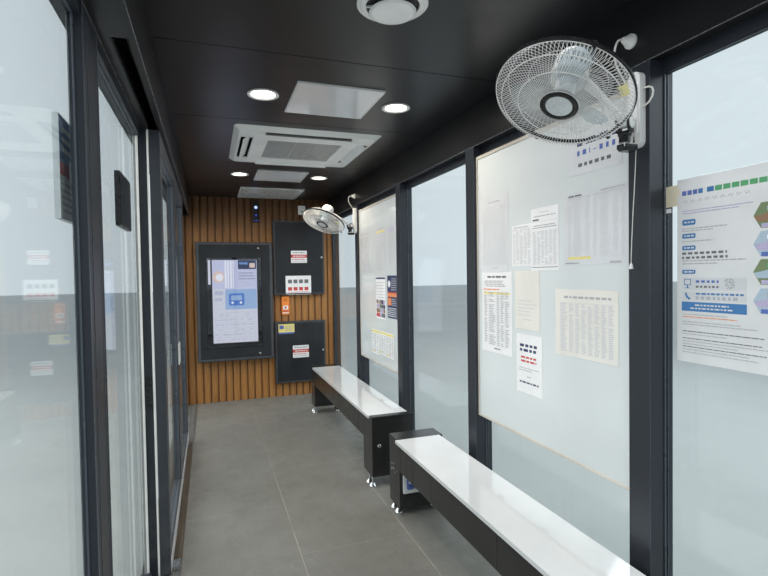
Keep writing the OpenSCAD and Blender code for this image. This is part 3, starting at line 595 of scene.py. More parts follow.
FANS = {"a": (1.235, 21.6, 0.0), "b": (-2.245, 32.6, 2.0)}
for fan, (fc, faz, nod) in FANS.items():
    FF = Matrix.Translation((fc, 0.735, 2.04)) @ Matrix.Rotation(math.radians(faz - 90), 4, "Z")
    HF = FF @ Matrix.Translation((0, 0, 0.002)) @ Matrix.Rotation(math.radians(nod), 4, "Y") @ Matrix.Translation((0, 0, -0.002))
    A = HF @ Matrix.Translation((0.320, -0.0471, 0.036)) @ Matrix.Rotation(math.radians(149.8), 4, "Y")
    head, hub_body, neck_body = "fan_%s_head" % fan, "fan_%s_rotor" % fan, "fan_%s_neck" % fan
    R = 0.202
    g = B()
    front = [(R, 0.004), (R - 0.0012, 0.010), (0.1970, 0.0185), (0.186, 0.0245), (0.160, 0.0290), (0.125, 0.0330), (0.090, 0.0358), (0.0555, 0.0375)]
    for i in range(116):
        a = TAU * i / 116
        g.tube([A @ Vector((q * math.cos(a + 0.42 * (1 - q / R) ** 1.4), q * math.sin(a + 0.42 * (1 - q / R) ** 1.4), h)) for q, h in front], 0.00095, 5)
    back = [(R - 0.001, -0.006), (0.1965, -0.013), (0.186, -0.024), (0.175, -0.036), (0.160, -0.047), (0.126, -0.0565), (0.086, -0.0625), (0.052, -0.0655)]
    for i in range(80):
        a = TAU * i / 80
        g.tube([A @ Vector((q * math.cos(a - 0.35 * (1 - q / R) ** 1.4), q * math.sin(a - 0.35 * (1 - q / R) ** 1.4), h)) for q, h in back], 0.00095, 5)
    for q, h, w in ((0.178, 0.0266, 0.0019), (0.125, 0.0342, 0.0019), (0.0575, 0.0372, 0.0016), (0.1745, -0.0352, 0.0011),
                    (0.118, -0.0588, 0.0011), (0.0535, -0.0650, 0.002), (R, 0.0040, 0.0012)):
        hoop(g, A, q, h, w)
    g.make("fan_%s_guard" % fan, ["wire"], head, replaces=(head,))
    g = B()
    turn(g, A, [(0.0, 0.030), (0.0565, 0.030), (0.0585, 0.0325), (0.0585, 0.0365), (0.0565, 0.0395), (0.050, 0.0418), (0.0430, 0.0424), (0.0405, 0.0408), (0.0393, 0.0400)], 0, TAU, 64, 0)
    turn(g, A, [(0.0393, 0.0400), (0.034, 0.0410), (0.018, 0.0417), (0.0, 0.0418)], 0, TAU, 64, 1)
    g.make("fan_%s_cap" % fan, ["fan_black", "cap_pale"], head)
    g = B()
    turn(g, A, [(0.0, -0.060), (0.030, -0.060), (0.044, -0.0625), (0.0535, -0.069), (0.056, -0.078), (0.0565, -0.118), (0.0545, -0.140), (0.0475, -0.156), (0.034, -0.164), (0.0, -0.1665)], 0, TAU, 56, 0)
    for i in range(24):
        a = TAU * i / 24
        o = A @ Vector((0.0568 * math.cos(a), 0.0568 * math.sin(a), -0.126))
        rad, tan, ax = A.to_3x3() @ Vector((math.cos(a), math.sin(a), 0)), A.to_3x3() @ Vector((-math.sin(a), math.cos(a), 0)), A.to_3x3() @ Vector((0, 0, 1))
        g.obox(o - tan * 0.0016 - rad * 0.0012, tan * 0.0032, ax * 0.034, rad * 0.0018, 1)
    p0 = Vector((0.0, 0.0, 0.002))
    d = Vector((0.887, -0.1588, 0.4337)).normalized()
    path = [p0 + d * s + Vector((0, 0, 0.010 * math.sin(math.pi * s / 0.262))) for s in (0.0, 0.02, 0.05, 0.09, 0.13, 0.17, 0.21, 0.245, 0.262)]
    g.tube([HF @ p for p in path], [0.0125, 0.0135, 0.0125, 0.0120, 0.0125, 0.0140, 0.0165, 0.0200, 0.021], 16, 0)
    g.lathe([(0.0, -0.0135), (0.013, -0.0135), (0.0155, -0.011), (0.0155, 0.011), (0.013, 0.0135), (0.0, 0.0135)], HF @ p0, HF.to_3x3() @ Vector((0, 1, 0)), 32, 0)
    g.make("fan_%s_motor" % fan, ["white", "gap"], head)
    g = B()
    turn(g, A, [(0.2005, -0.0105), (0.2050, -0.0112), (0.2070, -0.0085), (0.2070, -0.0025), (0.2050, 0.0010), (0.2005, 0.0018), (0.2005, -0.0105)], 0, TAU, 128)
    o = A @ Vector((0.2075 * math.cos(math.radians(14)), 0.2075 * math.sin(math.radians(14)), -0.006))
    g.obox(o, A.to_3x3() @ Vector((0.011, 0.003, 0)), A.to_3x3() @ Vector((-0.003, 0.010, 0)), A.to_3x3() @ Vector((0, 0, 0.010)))
    for deg in (130, 222, 310):
        ca, sa = math.cos(math.radians(deg)), math.sin(math.radians(deg))
        o = A @ Vector((0.2030 * ca + 0.006 * sa, 0.2030 * sa - 0.006 * ca, -0.0125))
        g.obox(o, A.to_3x3() @ Vector((0.0065 * ca, 0.0065 * sa, 0)), A.to_3x3() @ Vector((-0.012 * sa, 0.012 * ca, 0)), A.to_3x3() @ Vector((0, 0, 0.020)))
    g.make("fan_%s_clamp" % fan, ["fan_black"], head)
    g = B()
    lab = [(math.radians(a), [(0.172, 0.0296), (0.184, 0.0272), (0.195, 0.0222)]) for a in (78, 81, 84, 87, 90)]
    for i in range(4):
        for j in range(2):
            qs = [(lab[i][0], lab[i][1][j]), (lab[i + 1][0], lab[i + 1][1][j]), (lab[i + 1][0], lab[i + 1][1][j + 1]), (lab[i][0], lab[i][1][j + 1])]
            g.quad(*[A @ Vector((q[0] * math.cos(a), q[0] * math.sin(a), q[1] + 0.0012)) for a, q in qs])
    for s, e in ((0.168, 0.1705), (0.173, 0.1745), (0.178, 0.1795)):
        for a0, a1 in ((80, 83), (84, 88)):
            g.quad(*[A @ Vector((q * math.cos(math.radians(a)), q * math.sin(math.radians(a)), 0.0325 - (q - 0.166) * 0.2)) for a, q in ((a0, s), (a1, s), (a1, e), (a0, e))], m=1)
    g.make("fan_%s_label" % fan, ["label_pale", "ink_soft"], head, thick=0.0004)
    # blades
    g = B()
    lead = [(0.028, -0.019), (0.045, -0.032), (0.070, -0.043), (0.095, -0.050), (0.118, -0.0535), (0.140, -0.0515), (0.155, -0.044), (0.165, -0.029), (0.1705, -0.010)]
    trail = [(0.028, 0.016), (0.045, 0.022), (0.070, 0.032), (0.095, 0.039), (0.118, 0.042), (0.140, 0.0405), (0.155, 0.033), (0.165, 0.021), (0.1705, 0.006)]
    for k in range(3):
        b0 = math.radians(20 + 120 * k)
        Rb = A @ Matrix.Rotation(b0, 4, "Z")
        v, cols = [], 13
        for (q, y0), (_, y1) in zip(lead, trail):
            tw = math.radians(30 - 12 * (q - 0.028) / 0.142)
            for c in range(cols):
                t = c / (cols - 1)
                yy = y0 + (y1 - y0) * t
                v.append(Rb @ Vector((q, yy * math.cos(tw), -0.014 + yy * math.sin(tw) - 0.007 * (1 - (2 * t - 1) ** 2))))
        g.add(v, [(i * cols + c, (i + 1) * cols + c, (i + 1) * cols + c + 1, i * cols + c + 1) for i in range(len(lead) - 1) for c in range(cols - 1)], 0, True)
    g.make("fan_%s_blades" % fan, ["blade"], hub_body, thick=0.0018)
    g = B()
    turn(g, A, [(0.0, -0.052), (0.030, -0.052), (0.0335, -0.048), (0.034, 0.002), (0.031, 0.011), (0.022, 0.0165), (0.0, 0.018)], 0, TAU, 48)
    turn(g, A, [(0.0, -0.084), (0.005, -0.084), (0.005, -0.050)], 0, TAU, 16)
    g.make("fan_%s_hub" % fan, ["cap_pale"], hub_body, replaces=(hub_body,))
    # pivot caps on the fork, slots in the bracket
    g = B()
    for s in (-1, 1):
        g.lathe([(0.0, 0.0), (0.0190, 0.0), (0.0194, 0.0024), (0.0176, 0.0048), (0.007, 0.0060), (0.0060, 0.0050), (0.0, 0.0050)],
                FF @ Vector((0, 0.0230 * s, 0.002)), FF.to_3x3() @ Vector((0, s, 0)), 40)
    g.make("fan_%s_pivot_caps" % fan, ["white"], neck_body)
    g = B()
    for s in (-1, 1):
        g.lathe([(0.0, 0.0), (0.0235, 0.0), (0.0252, 0.0014), (0.0252, 0.0046), (0.0235, 0.0060), (0.0, 0.0060)],
                FF @ Vector((0, 0.0170 * s, 0.002)), FF.to_3x3() @ Vector((0, s, 0)), 40)
    g.lathe([(0.0, 0.0), (0.0195, 0.0), (0.0215, 0.003), (0.0215, 0.012), (0.0190, 0.015), (0.0, 0.015)], FF @ Vector((0, 0, -0.040)), Vector((0, 0, 1)), 40)
    g.make("fan_%s_fork_discs" % fan, ["fan_black"], neck_body)
    g = B()
    v0 = [(fc + a, 0.7455 + b) for a, b in rounded(0.0205, 0.0325, 0.012, 6)]
    v1 = [(fc + a * 0.72, 0.7455 + b * 0.80) for a, b in rounded(0.0205, 0.0325, 0.012, 6)]
    c = len(v0)
    vv = [(x, y, 1.9715) for x, y in v0] + [(x, y, 1.9600) for x, y in v0] + [(x, y, 1.9500) for x, y in v1]
    g.add(vv, [tuple(range(c - 1, -1, -1)), tuple(range(2 * c, 3 * c))], 0)
    g.add(vv, [(k * c + i, k * c + (i + 1) % c, (k + 1) * c + (i + 1) % c, (k + 1) * c + i) for k in (0, 1) for i in range(c)], 0, True)
    g.make("fan_%s_base_cover" % fan, ["fan_black"], "shelter")
    g = B()
    for z in (2.190, 1.995):
        g.prism(rounded(0.0022, 0.008, 0.002, 3), (fc, 0.7752, z), (1, 0, 0), (0, 0, 1), (0, -0.0006, 0))
        g.prism(rounded(0.0042, 0.0042, 0.004, 4), (fc, 0.7752, z - 0.009), (1, 0, 0), (0, 0, 1), (0, -0.0006, 0))
    g.make("fan_%s_bracket_slots" % fan, ["gap"], "shelter")
    g = B()
    g.prism([(x, z) for x, z in rounded(0.017, 0.090, 0.0165, 6)], (fc, 0.775, 2.0915), (1, 0, 0), (0, 0, 1), (0, -0.006, 0), smooth=False)
    g.make("fan_%s_bracket_cover" % fan, ["white"], "shelter", bevel=0.0025)


# ------------------------------------------------------------------ printed sheets
class Sheet:
    """A sheet on a wall: o is its lower left corner, ux and uy its edges, n points into the room."""

    def __init__(self, o, ux, uy, n, curl=0.0, seed=1):
        self.o, self.ux, self.uy, self.n = Vector(o), Vector(ux), Vector(uy), Vector(n)
        self.w, self.h = self.ux.length, self.uy.length
        rr = random.Random(seed)
        self.k = [rr.uniform(0, 6.28) for _ in range(4)]
        self.curl = 0.4 * curl

    def p(self, u, v, lift):
        c = 0.5 + 0.25 * math.sin(4.3 * u + self.k[0]) + 0.25 * math.sin(5.1 * v + self.k[1])
        c += 1.2 * max(0, 2 * abs(u - 0.5) - 0.75) * (0.5 + 0.5 * math.sin(6 * v + self.k[2])) * 2 + 1.0 * max(0, 0.12 - v) * 6 * (0.5 + 0.5 * math.sin(5 * u + self.k[3]))
        return self.o + self.ux * u + self.uy * v + self.n * (lift + c * self.curl)

    def page(self, g, m=0, nu=10, nv=12):
        k = [[self.p(i / nu, j / nv, 0.0006) for j in range(nv + 1)] for i in range(nu + 1)]
        g.add([q for row in k for q in row], [(i * (nv + 1) + j, (i + 1) * (nv + 1) + j, (i + 1) * (nv + 1) + j + 1, i * (nv + 1) + j + 1)
                                              for i in range(nu) for j in range(nv)], m, False)

    def rect(self, g, u0, v0, u1, v1, m, lift=0.0010):
        nu = max(1, int(abs(u1 - u0) * 10)) if self.curl else 1
        nv = max(1, int(abs(v1 - v0) * 12)) if self.curl else 1
        k = [self.p(u0 + (u1 - u0) * i / nu, v0 + (v1 - v0) * j / nv, lift) for i in range(nu + 1) for j in range(nv + 1)]
        g.add(k, [(i * (nv + 1) + j, (i + 1) * (nv + 1) + j, (i + 1) * (nv + 1) + j + 1, i * (nv + 1) + j + 1) for i in range(nu) for j in range(nv)], m)

    def poly(self, g, pts, m, lift=0.0010):
        g.add([self.p(u, v, lift) for u, v in pts], [tuple(range(len(pts)))], m)

    def dashes(self, g, u0, u1, v, hgt, m, rnd, fill=0.93, lo=0.012, hi=0.05, lift=0.0010):
        """A line of short bars, hgt high, with gaps between them; lengths in metres."""
        u = u0
        gap = 0.35 * hgt / self.w
        while u < u0 + (u1 - u0) * fill:
            e = min(u + rnd.uniform(lo, hi) / self.w, u1)
            self.rect(g, u, v, e, v + hgt / self.h, m, lift)
            u = e + gap + 0.5 * hgt / self.w

    def table(self, g, u0, v0, u1, v1, cols, rows, line, txt, rnd, th=0.45, lw=0.0007, rules=True, keep=0.95):
        tot = sum(cols)
        edges = [u0]
        for c in cols:
            edges.append(edges[-1] + (u1 - u0) * c / tot)
        dv = (v1 - v0) / rows
        if rules:
            for j in range(rows + 1):
                self.rect(g, u0, v0 + dv * j, u1, v0 + dv * j + lw / self.h, line, 0.0009)
            for e in edges:
                self.rect(g, e, v0, e + lw / self.w, v1, line, 0.0009)
        for j in range(rows):
            for a, b in zip(edges, edges[1:]):
                if rnd.random() < keep:
                    wd = (b - a) * rnd.uniform(0.45, 0.78)
                    s = a + (b - a) * 0.12
                    self.rect(g, s, v0 + dv * (j + 0.5 - th / 2), s + wd, v0 + dv * (j + 0.5 + th / 2), txt)


INK = ["paper", "ink", "ink_soft", "ink_pale", "ink_blue", "ink_sky", "ink_red", "ink_yellow", "ink_green", "ink_navy", "ink_orange", "paper_warm",
       "laminate", "ink_brown", "ink_lilac"]
C = {k: i for i, k in enumerate(INK)}


def on_board(x0, x1, z0, z1, curl=0.0, seed=1, face=0.820):
    return Sheet((x0, face, z0), (x1 - x0, 0, 0), (0, 0, z1 - z0), (0, -1, 0), curl, seed)


def on_end(y0, y1, z0, z1, face, curl=0.0, seed=1):
    return Sheet((face, y0, z0), (0, y1 - y0, 0), (0, 0, z1 - z0), (1, 0, 0), curl, seed)


rnd = random.Random(41)
g = B()
# tall laminated table at the upper left
s = on_board(0.135, 0.410, 1.550, 1.955, 0.0008, 3)
s.page(g, C["laminate"])
s.dashes(g, 0.30, 0.72, 0.905, 0.006, C["ink_soft"], rnd)
s.table(g, 0.10, 0.10, 0.93, 0.86, [1.4, 1, 1, 1.6, 1, 1], 26, C["ink_pale"], C["ink_pale"], rnd, 0.42)
s.rect(g, 0.40, 0.055, 0.66, 0.062, C["ink_soft"])
# two narrow tables beside it
s = on_board(0.440, 0.600, 1.577, 1.776, 0.0005, 4)
s.page(g, C["paper"])
s.dashes(g, 0.10, 0.80, 0.93, 0.004, C["ink_soft"], rnd)
s.table(g, 0.05, 0.04, 0.97, 0.90, [1, 1, 1.4, 1, 1], 18, C["ink_pale"], C["ink_pale"], rnd, 0.5)
s = on_board(0.596, 0.789, 1.555, 1.838, 0.0006, 5)
s.page(g, C["paper"])
s.dashes(g, 0.32, 0.66, 0.92, 0.004, C["ink_pale"], rnd)
s.dashes(g, 0.10, 0.92, 0.86, 0.004, C["ink_soft"], rnd)
s.dashes(g, 0.06, 0.30, 0.80, 0.007, C["ink"], rnd)
s.rect(g, 0.04, 0.785, 0.96, 0.788, C["ink_soft"])
s.dashes(g, 0.10, 0.94, 0.71, 0.0042, C["ink_soft"], rnd)
s.dashes(g, 0.06, 0.94, 0.675, 0.0042, C["ink_soft"], rnd)
s.table(g, 0.06, 0.09, 0.95, 0.63, [1.2, 1, 1, 1, 1, 1], 19, C["ink_pale"], C["ink_pale"], rnd, 0.5)
s.rect(g, 0.03, 0.045, 0.97, 0.055, C["ink"])
# the large double table under film
s = on_board(0.825, 1.169, 1.575, 1.865, 0.0007, 6)
s.page(g, C["laminate"])
s.dashes(g, 0.08, 0.30, 0.955, 0.006, C["ink"], rnd)
s.dashes(g, 0.60, 0.95, 0.965, 0.004, C["ink_soft"], rnd)
for a0, a1, cc in ((0.05, 0.45, [1, 2.2, 1.2]), (0.48, 0.97, [1, 2.4, 1.4, 1])):
    s.table(g, a0, 0.10, a1, 0.93, cc, 34, C["ink_pale"], C["ink_pale"], rnd, 0.45, rules=False)
    s.rect(g, a0, 0.934, a1, 0.938, C["ink_soft"])
s.rect(g, 0.07, 0.075, 0.45, 0.112, C["ink_yellow"], 0.0008)
s.rect(g, 0.02, 0.018, 0.26, 0.026, C["ink"])
s.rect(g, 0.74, 0.010, 0.90, 0.032, C["ink_soft"])
# heading sheet at the top: two plain bars
s = on_board(0.862, 1.140, 1.937, 2.125, 0.0011, 7)
s.page(g, C["laminate"])
s.dashes(g, 0.16, 0.90, 0.60, 0.024, C["ink_navy"], rnd, 0.9, 0.020, 0.055)
s.dashes(g, 0.16, 0.42, 0.40, 0.020, C["ink_blue"], rnd, 1.0, 0.012, 0.020)
s.rect(g, 0.48, 0.442, 0.54, 0.458, C["ink_blue"])
s.dashes(g, 0.60, 0.88, 0.40, 0.020, C["ink_blue"], rnd, 1.0, 0.012, 0.020)
s.dashes(g, 0.18, 0.84, 0.16, 0.014, C["ink"], rnd, 0.95, 0.015, 0.035)
# long list at the lower left
s = on_board(0.148, 0.435, 1.125, 1.553, 0.0007, 8)
s.page(g, C["paper"])
s.dashes(g, 0.20, 0.86, 0.925, 0.010, C["ink"], rnd, 0.95, 0.02, 0.05)
for k in range(4):
    s.dashes(g, 0.10 + 0.05 * (k > 2), 0.88, 0.880 - 0.021 * k, 0.0045, C["ink_soft"], rnd, 0.7 + 0.06 * k)
s.dashes(g, 0.06, 0.60, 0.775, 0.006, C["ink_orange"], rnd)
s.rect(g, 0.07, 0.722, 0.94, 0.750, C["ink_yellow"], 0.0008)
s.table(g, 0.07, 0.09, 0.93, 0.755, [1.1, 2.4, 1, 1.1, 1.3], 30, C["ink_pale"], C["ink_soft"], rnd, 0.45)
s.dashes(g, 0.42, 0.62, 0.045, 0.006, C["ink"], rnd)
# warm sheet with faint lines
s = on_board(0.463, 0.656, 1.274, 1.555, 0.0008, 9)
s.page(g, C["paper_warm"])
for k, vv in enumerate((0.48, 0.42, 0.36, 0.30, 0.24)):
    s.dashes(g, 0.12, 0.90, vv, 0.0040, C["ink_pale"], rnd, 0.6 + 0.07 * (k % 3))
s.dashes(g, 0.36, 0.66, 0.16, 0.005, C["ink_pale"], rnd)
# small notice with dark and red lines
s = on_board(0.472, 0.672, 0.968, 1.250, 0.0008, 10)
s.page(g, C["paper"])
s.dashes(g, 0.14, 0.82, 0.79, 0.013, C["ink_navy"], rnd, 0.97, 0.015, 0.035)
s.dashes(g, 0.14, 0.84, 0.71, 0.013, C["ink_navy"], rnd, 0.97, 0.015, 0.035)
s.dashes(g, 0.18, 0.82, 0.595, 0.009, C["ink_red"], rnd, 0.97, 0.015, 0.035)
s.dashes(g, 0.18, 0.78, 0.530, 0.009, C["ink_red"], rnd, 0.97, 0.015, 0.035)
s.dashes(g, 0.10, 0.88, 0.42, 0.0035, C["ink_soft"], rnd)
s.dashes(g, 0.10, 0.60, 0.38, 0.0035, C["ink_soft"], rnd)
s.dashes(g, 0.42, 0.56, 0.28, 0.004, C["ink_soft"], rnd)
s.dashes(g, 0.12, 0.86, 0.17, 0.008, C["ink_navy"], rnd, 0.97, 0.01, 0.03)
# wide table, lifted a little at its corners
s = on_board(0.765, 1.121, 1.193, 1.474, 0.0014, 11)
s.page(g, C["paper_warm"])
s.dashes(g, 0.16, 0.90, 0.865, 0.009, C["ink_soft"], rnd, 0.97, 0.01, 0.03)
s.table(g, 0.07, 0.06, 0.95, 0.79, [1.6, 1, 1, 1, 1, 1, 1, 1], 27, C["ink_pale"], C["ink_pale"], rnd, 0.60, rules=False)
s.rect(g, 0.07, 0.795, 0.95, 0.800, C["ink_pale"])
g.make("near_board_sheets", INK, thick=0.0003)

g = B()
for x0, x1, z0, z1, top in ((-2.150, -1.905, 1.585, 1.965, "ink_pale"), (-1.700, -1.435, 1.590, 1.970, "ink_yellow"), (-1.385, -1.215, 1.607, 1.955, "ink_lilac")):
    s = on_board(x0, x1, z0, z1, 0.0012, int(x0 * -100))
    s.page(g, C["laminate"])
    s.dashes(g, 0.20, 0.80, 0.93, 0.007, C["ink_soft"], rnd)
    s.rect(g, 0.08, 0.86, 0.92, 0.90, C[top], 0.0008)
    s.table(g, 0.08, 0.06, 0.92, 0.84, [1, 1.4, 1, 1, 1], 24, C["ink_pale"], C["ink_pale"], rnd, 0.5)
# calendar with a dark head and a block of plain patches
s = on_board(-1.712, -1.452, 1.160, 1.530, 0.0012, 21)
s.page(g, C["paper"])
s.rect(g, 0.03, 0.945, 0.97, 0.985, C["ink_navy"])
for i in range(7):
    for j in range(6):
        s.rect(g, 0.08 + 0.128 * i, 0.50 + 0.070 * j, 0.13 + 0.128 * i, 0.52 + 0.070 * j, C["ink" if (i + j) % 3 else "ink_soft"])
for i in range(5):
    for j in range(4):
        s.rect(g, 0.05 + 0.182 * i, 0.04 + 0.105 * j, 0.05 + 0.182 * i + 0.17, 0.04 + 0.105 * j + 0.095,
               C[rnd.choice(["ink_navy", "ink_brown", "ink_red", "ink_soft", "ink", "ink_lilac"])])
# dark blue sheet with a red and orange band
s = on_board(-1.402, -1.180, 1.185, 1.540, 0.0012, 22)
s.page(g, C["ink_navy"])
s.rect(g, 0.02, 0.50, 0.98, 0.585, C["ink_orange"])
s.rect(g, 0.02, 0.585, 0.98, 0.61, C["ink_red"])
s.rect(g, 0.05, 0.30, 0.42, 0.47, C["ink_orange"])
for j in range(6):
    s.dashes(g, 0.42, 0.95, 0.66 + 0.05 * j, 0.008, C["ink_soft"], rnd)
for j in range(4):
    s.dashes(g, 0.48, 0.95, 0.30 + 0.045 * j, 0.007, C["ink_soft"], rnd)
for j in range(5):
    s.dashes(g, 0.06, 0.95, 0.04 + 0.045 * j, 0.008, C["ink_pale"], rnd)
s.poly(g, [(0.10 + 0.13 * math.cos(TAU * k / 16) + 0.10, 0.80 + 0.08 * math.sin(TAU * k / 16)) for k in range(16)], C["paper"])
# three small tables with yellow heads
for x0, x1, z0, z1 in ((-1.848, -1.650, 0.830, 1.050), (-1.636, -1.450, 0.845, 1.053), (-1.440, -1.270, 0.845, 1.053)):
    s = on_board(x0, x1, z0, z1, 0.0010, int(x0 * -90))
    s.page(g, C["paper"])
    s.rect(g, 0.02, 0.88, 0.98, 0.97, C["ink_yellow"], 0.0008)
    s.table(g, 0.05, 0.05, 0.95, 0.85, [1, 1.6, 1], 12, C["ink_pale"], C["ink_soft"], rnd, 0.5)
    s.rect(g, 0.05, 0.05, 0.40, 0.14, C["ink_yellow"], 0.0008)
g.make("far_board_sheets", INK, thick=0.0003)

# board frames and clips
g = B()
for b0, b1 in ((-2.202, -1.123), (0.103, 1.188)):
    for x0, x1, z0, z1 in ((b0, b0 + 0.012, 0.750, 2.190), (b1 - 0.012, b1, 0.750, 2.190), (b0 + 0.012, b1 - 0.012, 2.174, 2.190), (b0 + 0.012, b1 - 0.012, 0.750, 0.762)):
        g.box(x0, x1, 0.8145, 0.8200, z0, z1)
        g.box(x0, x1, 0.8320, 0.8350, z0, z1)
g.make("board_edges", ["board_frame"], bevel=0.0012)
g = B()
for b0, b1 in ((-2.202, -1.123), (0.103, 1.188)):
    for x in (b0 + 0.18, (b0 + b1) / 2, b1 - 0.18):
        for z in (0.752, 2.188):
            g.box(x - 0.016, x + 0.016, 0.832, 0.852, z - 0.010, z + 0.010)
g.make("board_brackets", ["frame_dark"], bevel=0.001)

# poster on the glass by the near bench
g = B()
s = Sheet((1.326, 0.8655, 1.247), (0.420, 0, 0), (0, 0, 0.594), (0, -1, 0), 0.0016, 17)
U = lambda x: (x - 1.326) / 0.420
V = lambda z: (z - 1.247) / 0.594
s.page(g, 0, 14, 20)
PM = ["poster", "ink", "ink_soft", "ink_pale", "ink_blue", "ink_sky", "ink_green", "panel_tint", "ink_brown", "ink_lilac", "ink_orange", "ink_moss", "ink_haze", "paper"]
P = {k: i for i, k in enumerate(PM)}
tones = ["ink_blue", "ink_blue", "ink_blue", "ink_sky", "ink_sky", "ink_sky", "ink_green", "ink_green", "ink_green", "ink_green"]
x = 1.344
for k, wd in enumerate((0.019, 0.019, 0.019, 0.019, 0.0, 0.026, 0.026, 0.026, 0.026, 0.026, 0.026, 0.026)):
    if wd:
        hgt = 0.022 if k > 4 else 0.021
        zb = 1.7845
        col = P[tones[min(k, 9)]]
        s.rect(g, U(x), V(zb + hgt * 0.12), U(x + wd - 0.004), V(zb + hgt * 0.82), col)
    x += wd if wd else 0.010
for k in range(9):
    xa = 1.349 + 0.0245 * k
    pts = [(xa + 0.004 * q, 1.766 + 0.0055 * math.sin(2.4 * q + k * 1.7)) for q in range(5)]
    for (xa0, za0), (xb0, zb0) in zip(pts, pts[1:]):
        s.poly(g, [(U(xa0), V(za0)), (U(xb0), V(zb0)), (U(xb0), V(zb0 + 0.0022)), (U(xa0), V(za0 + 0.0022))], P["ink_soft"])
s.dashes(g, U(1.345), U(1.570), V(1.7350), 0.0030, P["ink_lilac"], rnd)
s.dashes(g, U(1.345), U(1.530), V(1.7270), 0.0030, P["ink_lilac"], rnd)
for z0, z1, lines in ((1.6880, 1.7110, (1.6775, 1.6700)), (1.6460, 1.6650, (1.6365,)), (1.6080, 1.6260, ()), (1.5315, 1.5480, ())):
    c = (z0 + z1) / 2
    rr = (z1 - z0) / 2 * 0.45
    out = rounded(0.0235, (z1 - z0) / 2 * 0.8, rr, 4)
    s.poly(g, [(U(1.368 + a), V(c + b)) for a, b in out], P["ink_sky"], 0.0010)
    s.dashes(g, U(1.352), U(1.386), V(c - 0.0022), 0.0045, P["poster"], rnd, 1.0, 0.006, 0.012, 0.0014)
    for zl in lines:
        s.dashes(g, U(1.344), U(1.344 + (0.150 if zl > 1.675 else 0.105)), V(zl), 0.0032, P["ink_soft"], rnd, 1.0, 0.006, 0.018)
for zl, wd in ((1.5955, 0.150), (1.5815, 0.158)):
    s.dashes(g, U(1.344), U(1.344 + wd), V(zl), 0.0075, P["ink"], rnd, 1.0, 0.006, 0.016)
for zl, wd in ((1.5735, 0.205), (1.5640, 0.120)):
    s.dashes(g, U(1.346), U(1.346 + wd), V(zl), 0.0036, P["ink_soft"], rnd, 1.0, 0.008, 0.020)
s.rect(g, U(1.347), V(1.4810), U(1.552), V(1.5210), P["panel_tint"], 0.0009)
s.rect(g, U(1.347), V(1.4480), U(1.552), V(1.4760), P["panel_tint"], 0.0009)
for a0, b0, a1, b1 in ((1.352, 1.497, 1.354, 1.517), (1.374, 1.497, 1.376, 1.517), (1.352, 1.515, 1.376, 1.517), (1.352, 1.497, 1.376, 1.499), (1.362, 1.489, 1.366, 1.497), (1.357, 1.487, 1.371, 1.489)):
    s.rect(g, U(a0), V(b0), U(a1), V(b1), P["ink_sky"], 0.0013)
s.dashes(g, U(1.393), U(1.470), V(1.5050), 0.0075, P["ink_blue"], rnd, 1.0, 0.006, 0.014, 0.0013)
s.dashes(g, U(1.393), U(1.468), V(1.4890), 0.0065, P["ink"], rnd, 1.0, 0.006, 0.014, 0.0013)
sq = random.Random(5)
for i in range(9):
    for j in range(9):
        if sq.random() < 0.52:
            s.rect(g, U(1.487 + 0.0034 * i), V(1.4870 + 0.0034 * j), U(1.487 + 0.0034 * (i + 1)), V(1.4870 + 0.0034 * (j + 1)), P["ink_soft"], 0.0013)
s.poly(g, [(U(1.356 + a), V(1.462 + b)) for a, b in ((0, 0.010), (0.005, 0.011), (0.006, 0.004), (0.011, -0.004), (0.017, -0.005), (0.018, -0.010), (0.012, -0.012), (0.004, -0.005), (-0.001, 0.004))], P["ink_sky"], 0.0013)
s.dashes(g, U(1.393), U(1.548), V(1.4670), 0.0055, P["ink_sky"], rnd, 1.0, 0.006, 0.016, 0.0013)
s.dashes(g, U(1.393), U(1.530), V(1.4520), 0.0095, P["ink_soft"], rnd, 1.0, 0.006, 0.014, 0.0013)
s.rect(g, U(1.343), V(1.4130), U(1.553), V(1.4430), P["ink_sky"], 0.0010)
s.dashes(g, U(1.390), U(1.500), V(1.4310), 0.0045, P["poster"], rnd, 1.0, 0.006, 0.016, 0.0014)
s.dashes(g, U(1.374), U(1.515), V(1.4205), 0.0045, P["poster"], rnd, 1.0, 0.006, 0.016, 0.0014)
for zl, wd, key in ((1.4010, 0.150, "ink_soft"), (1.3930, 0.178, "ink_orange"), (1.3770, 0.190, "ink_soft"), (1.3690, 0.238, "ink_soft"), (1.3460, 0.255, "ink"), (1.3370, 0.150, "ink_soft"),
                    (1.3230, 0.250, "ink"), (1.3140, 0.265, "ink_soft"), (1.3050, 0.180, "ink_soft"), (1.2960, 0.262, "ink"), (1.2870, 0.215, "ink_soft"), (1.2780, 0.240, "ink_soft")):
    s.dashes(g, U(1.346), U(1.346 + wd), V(zl), 0.0028, P[key], rnd, 1.0, 0.008, 0.024)
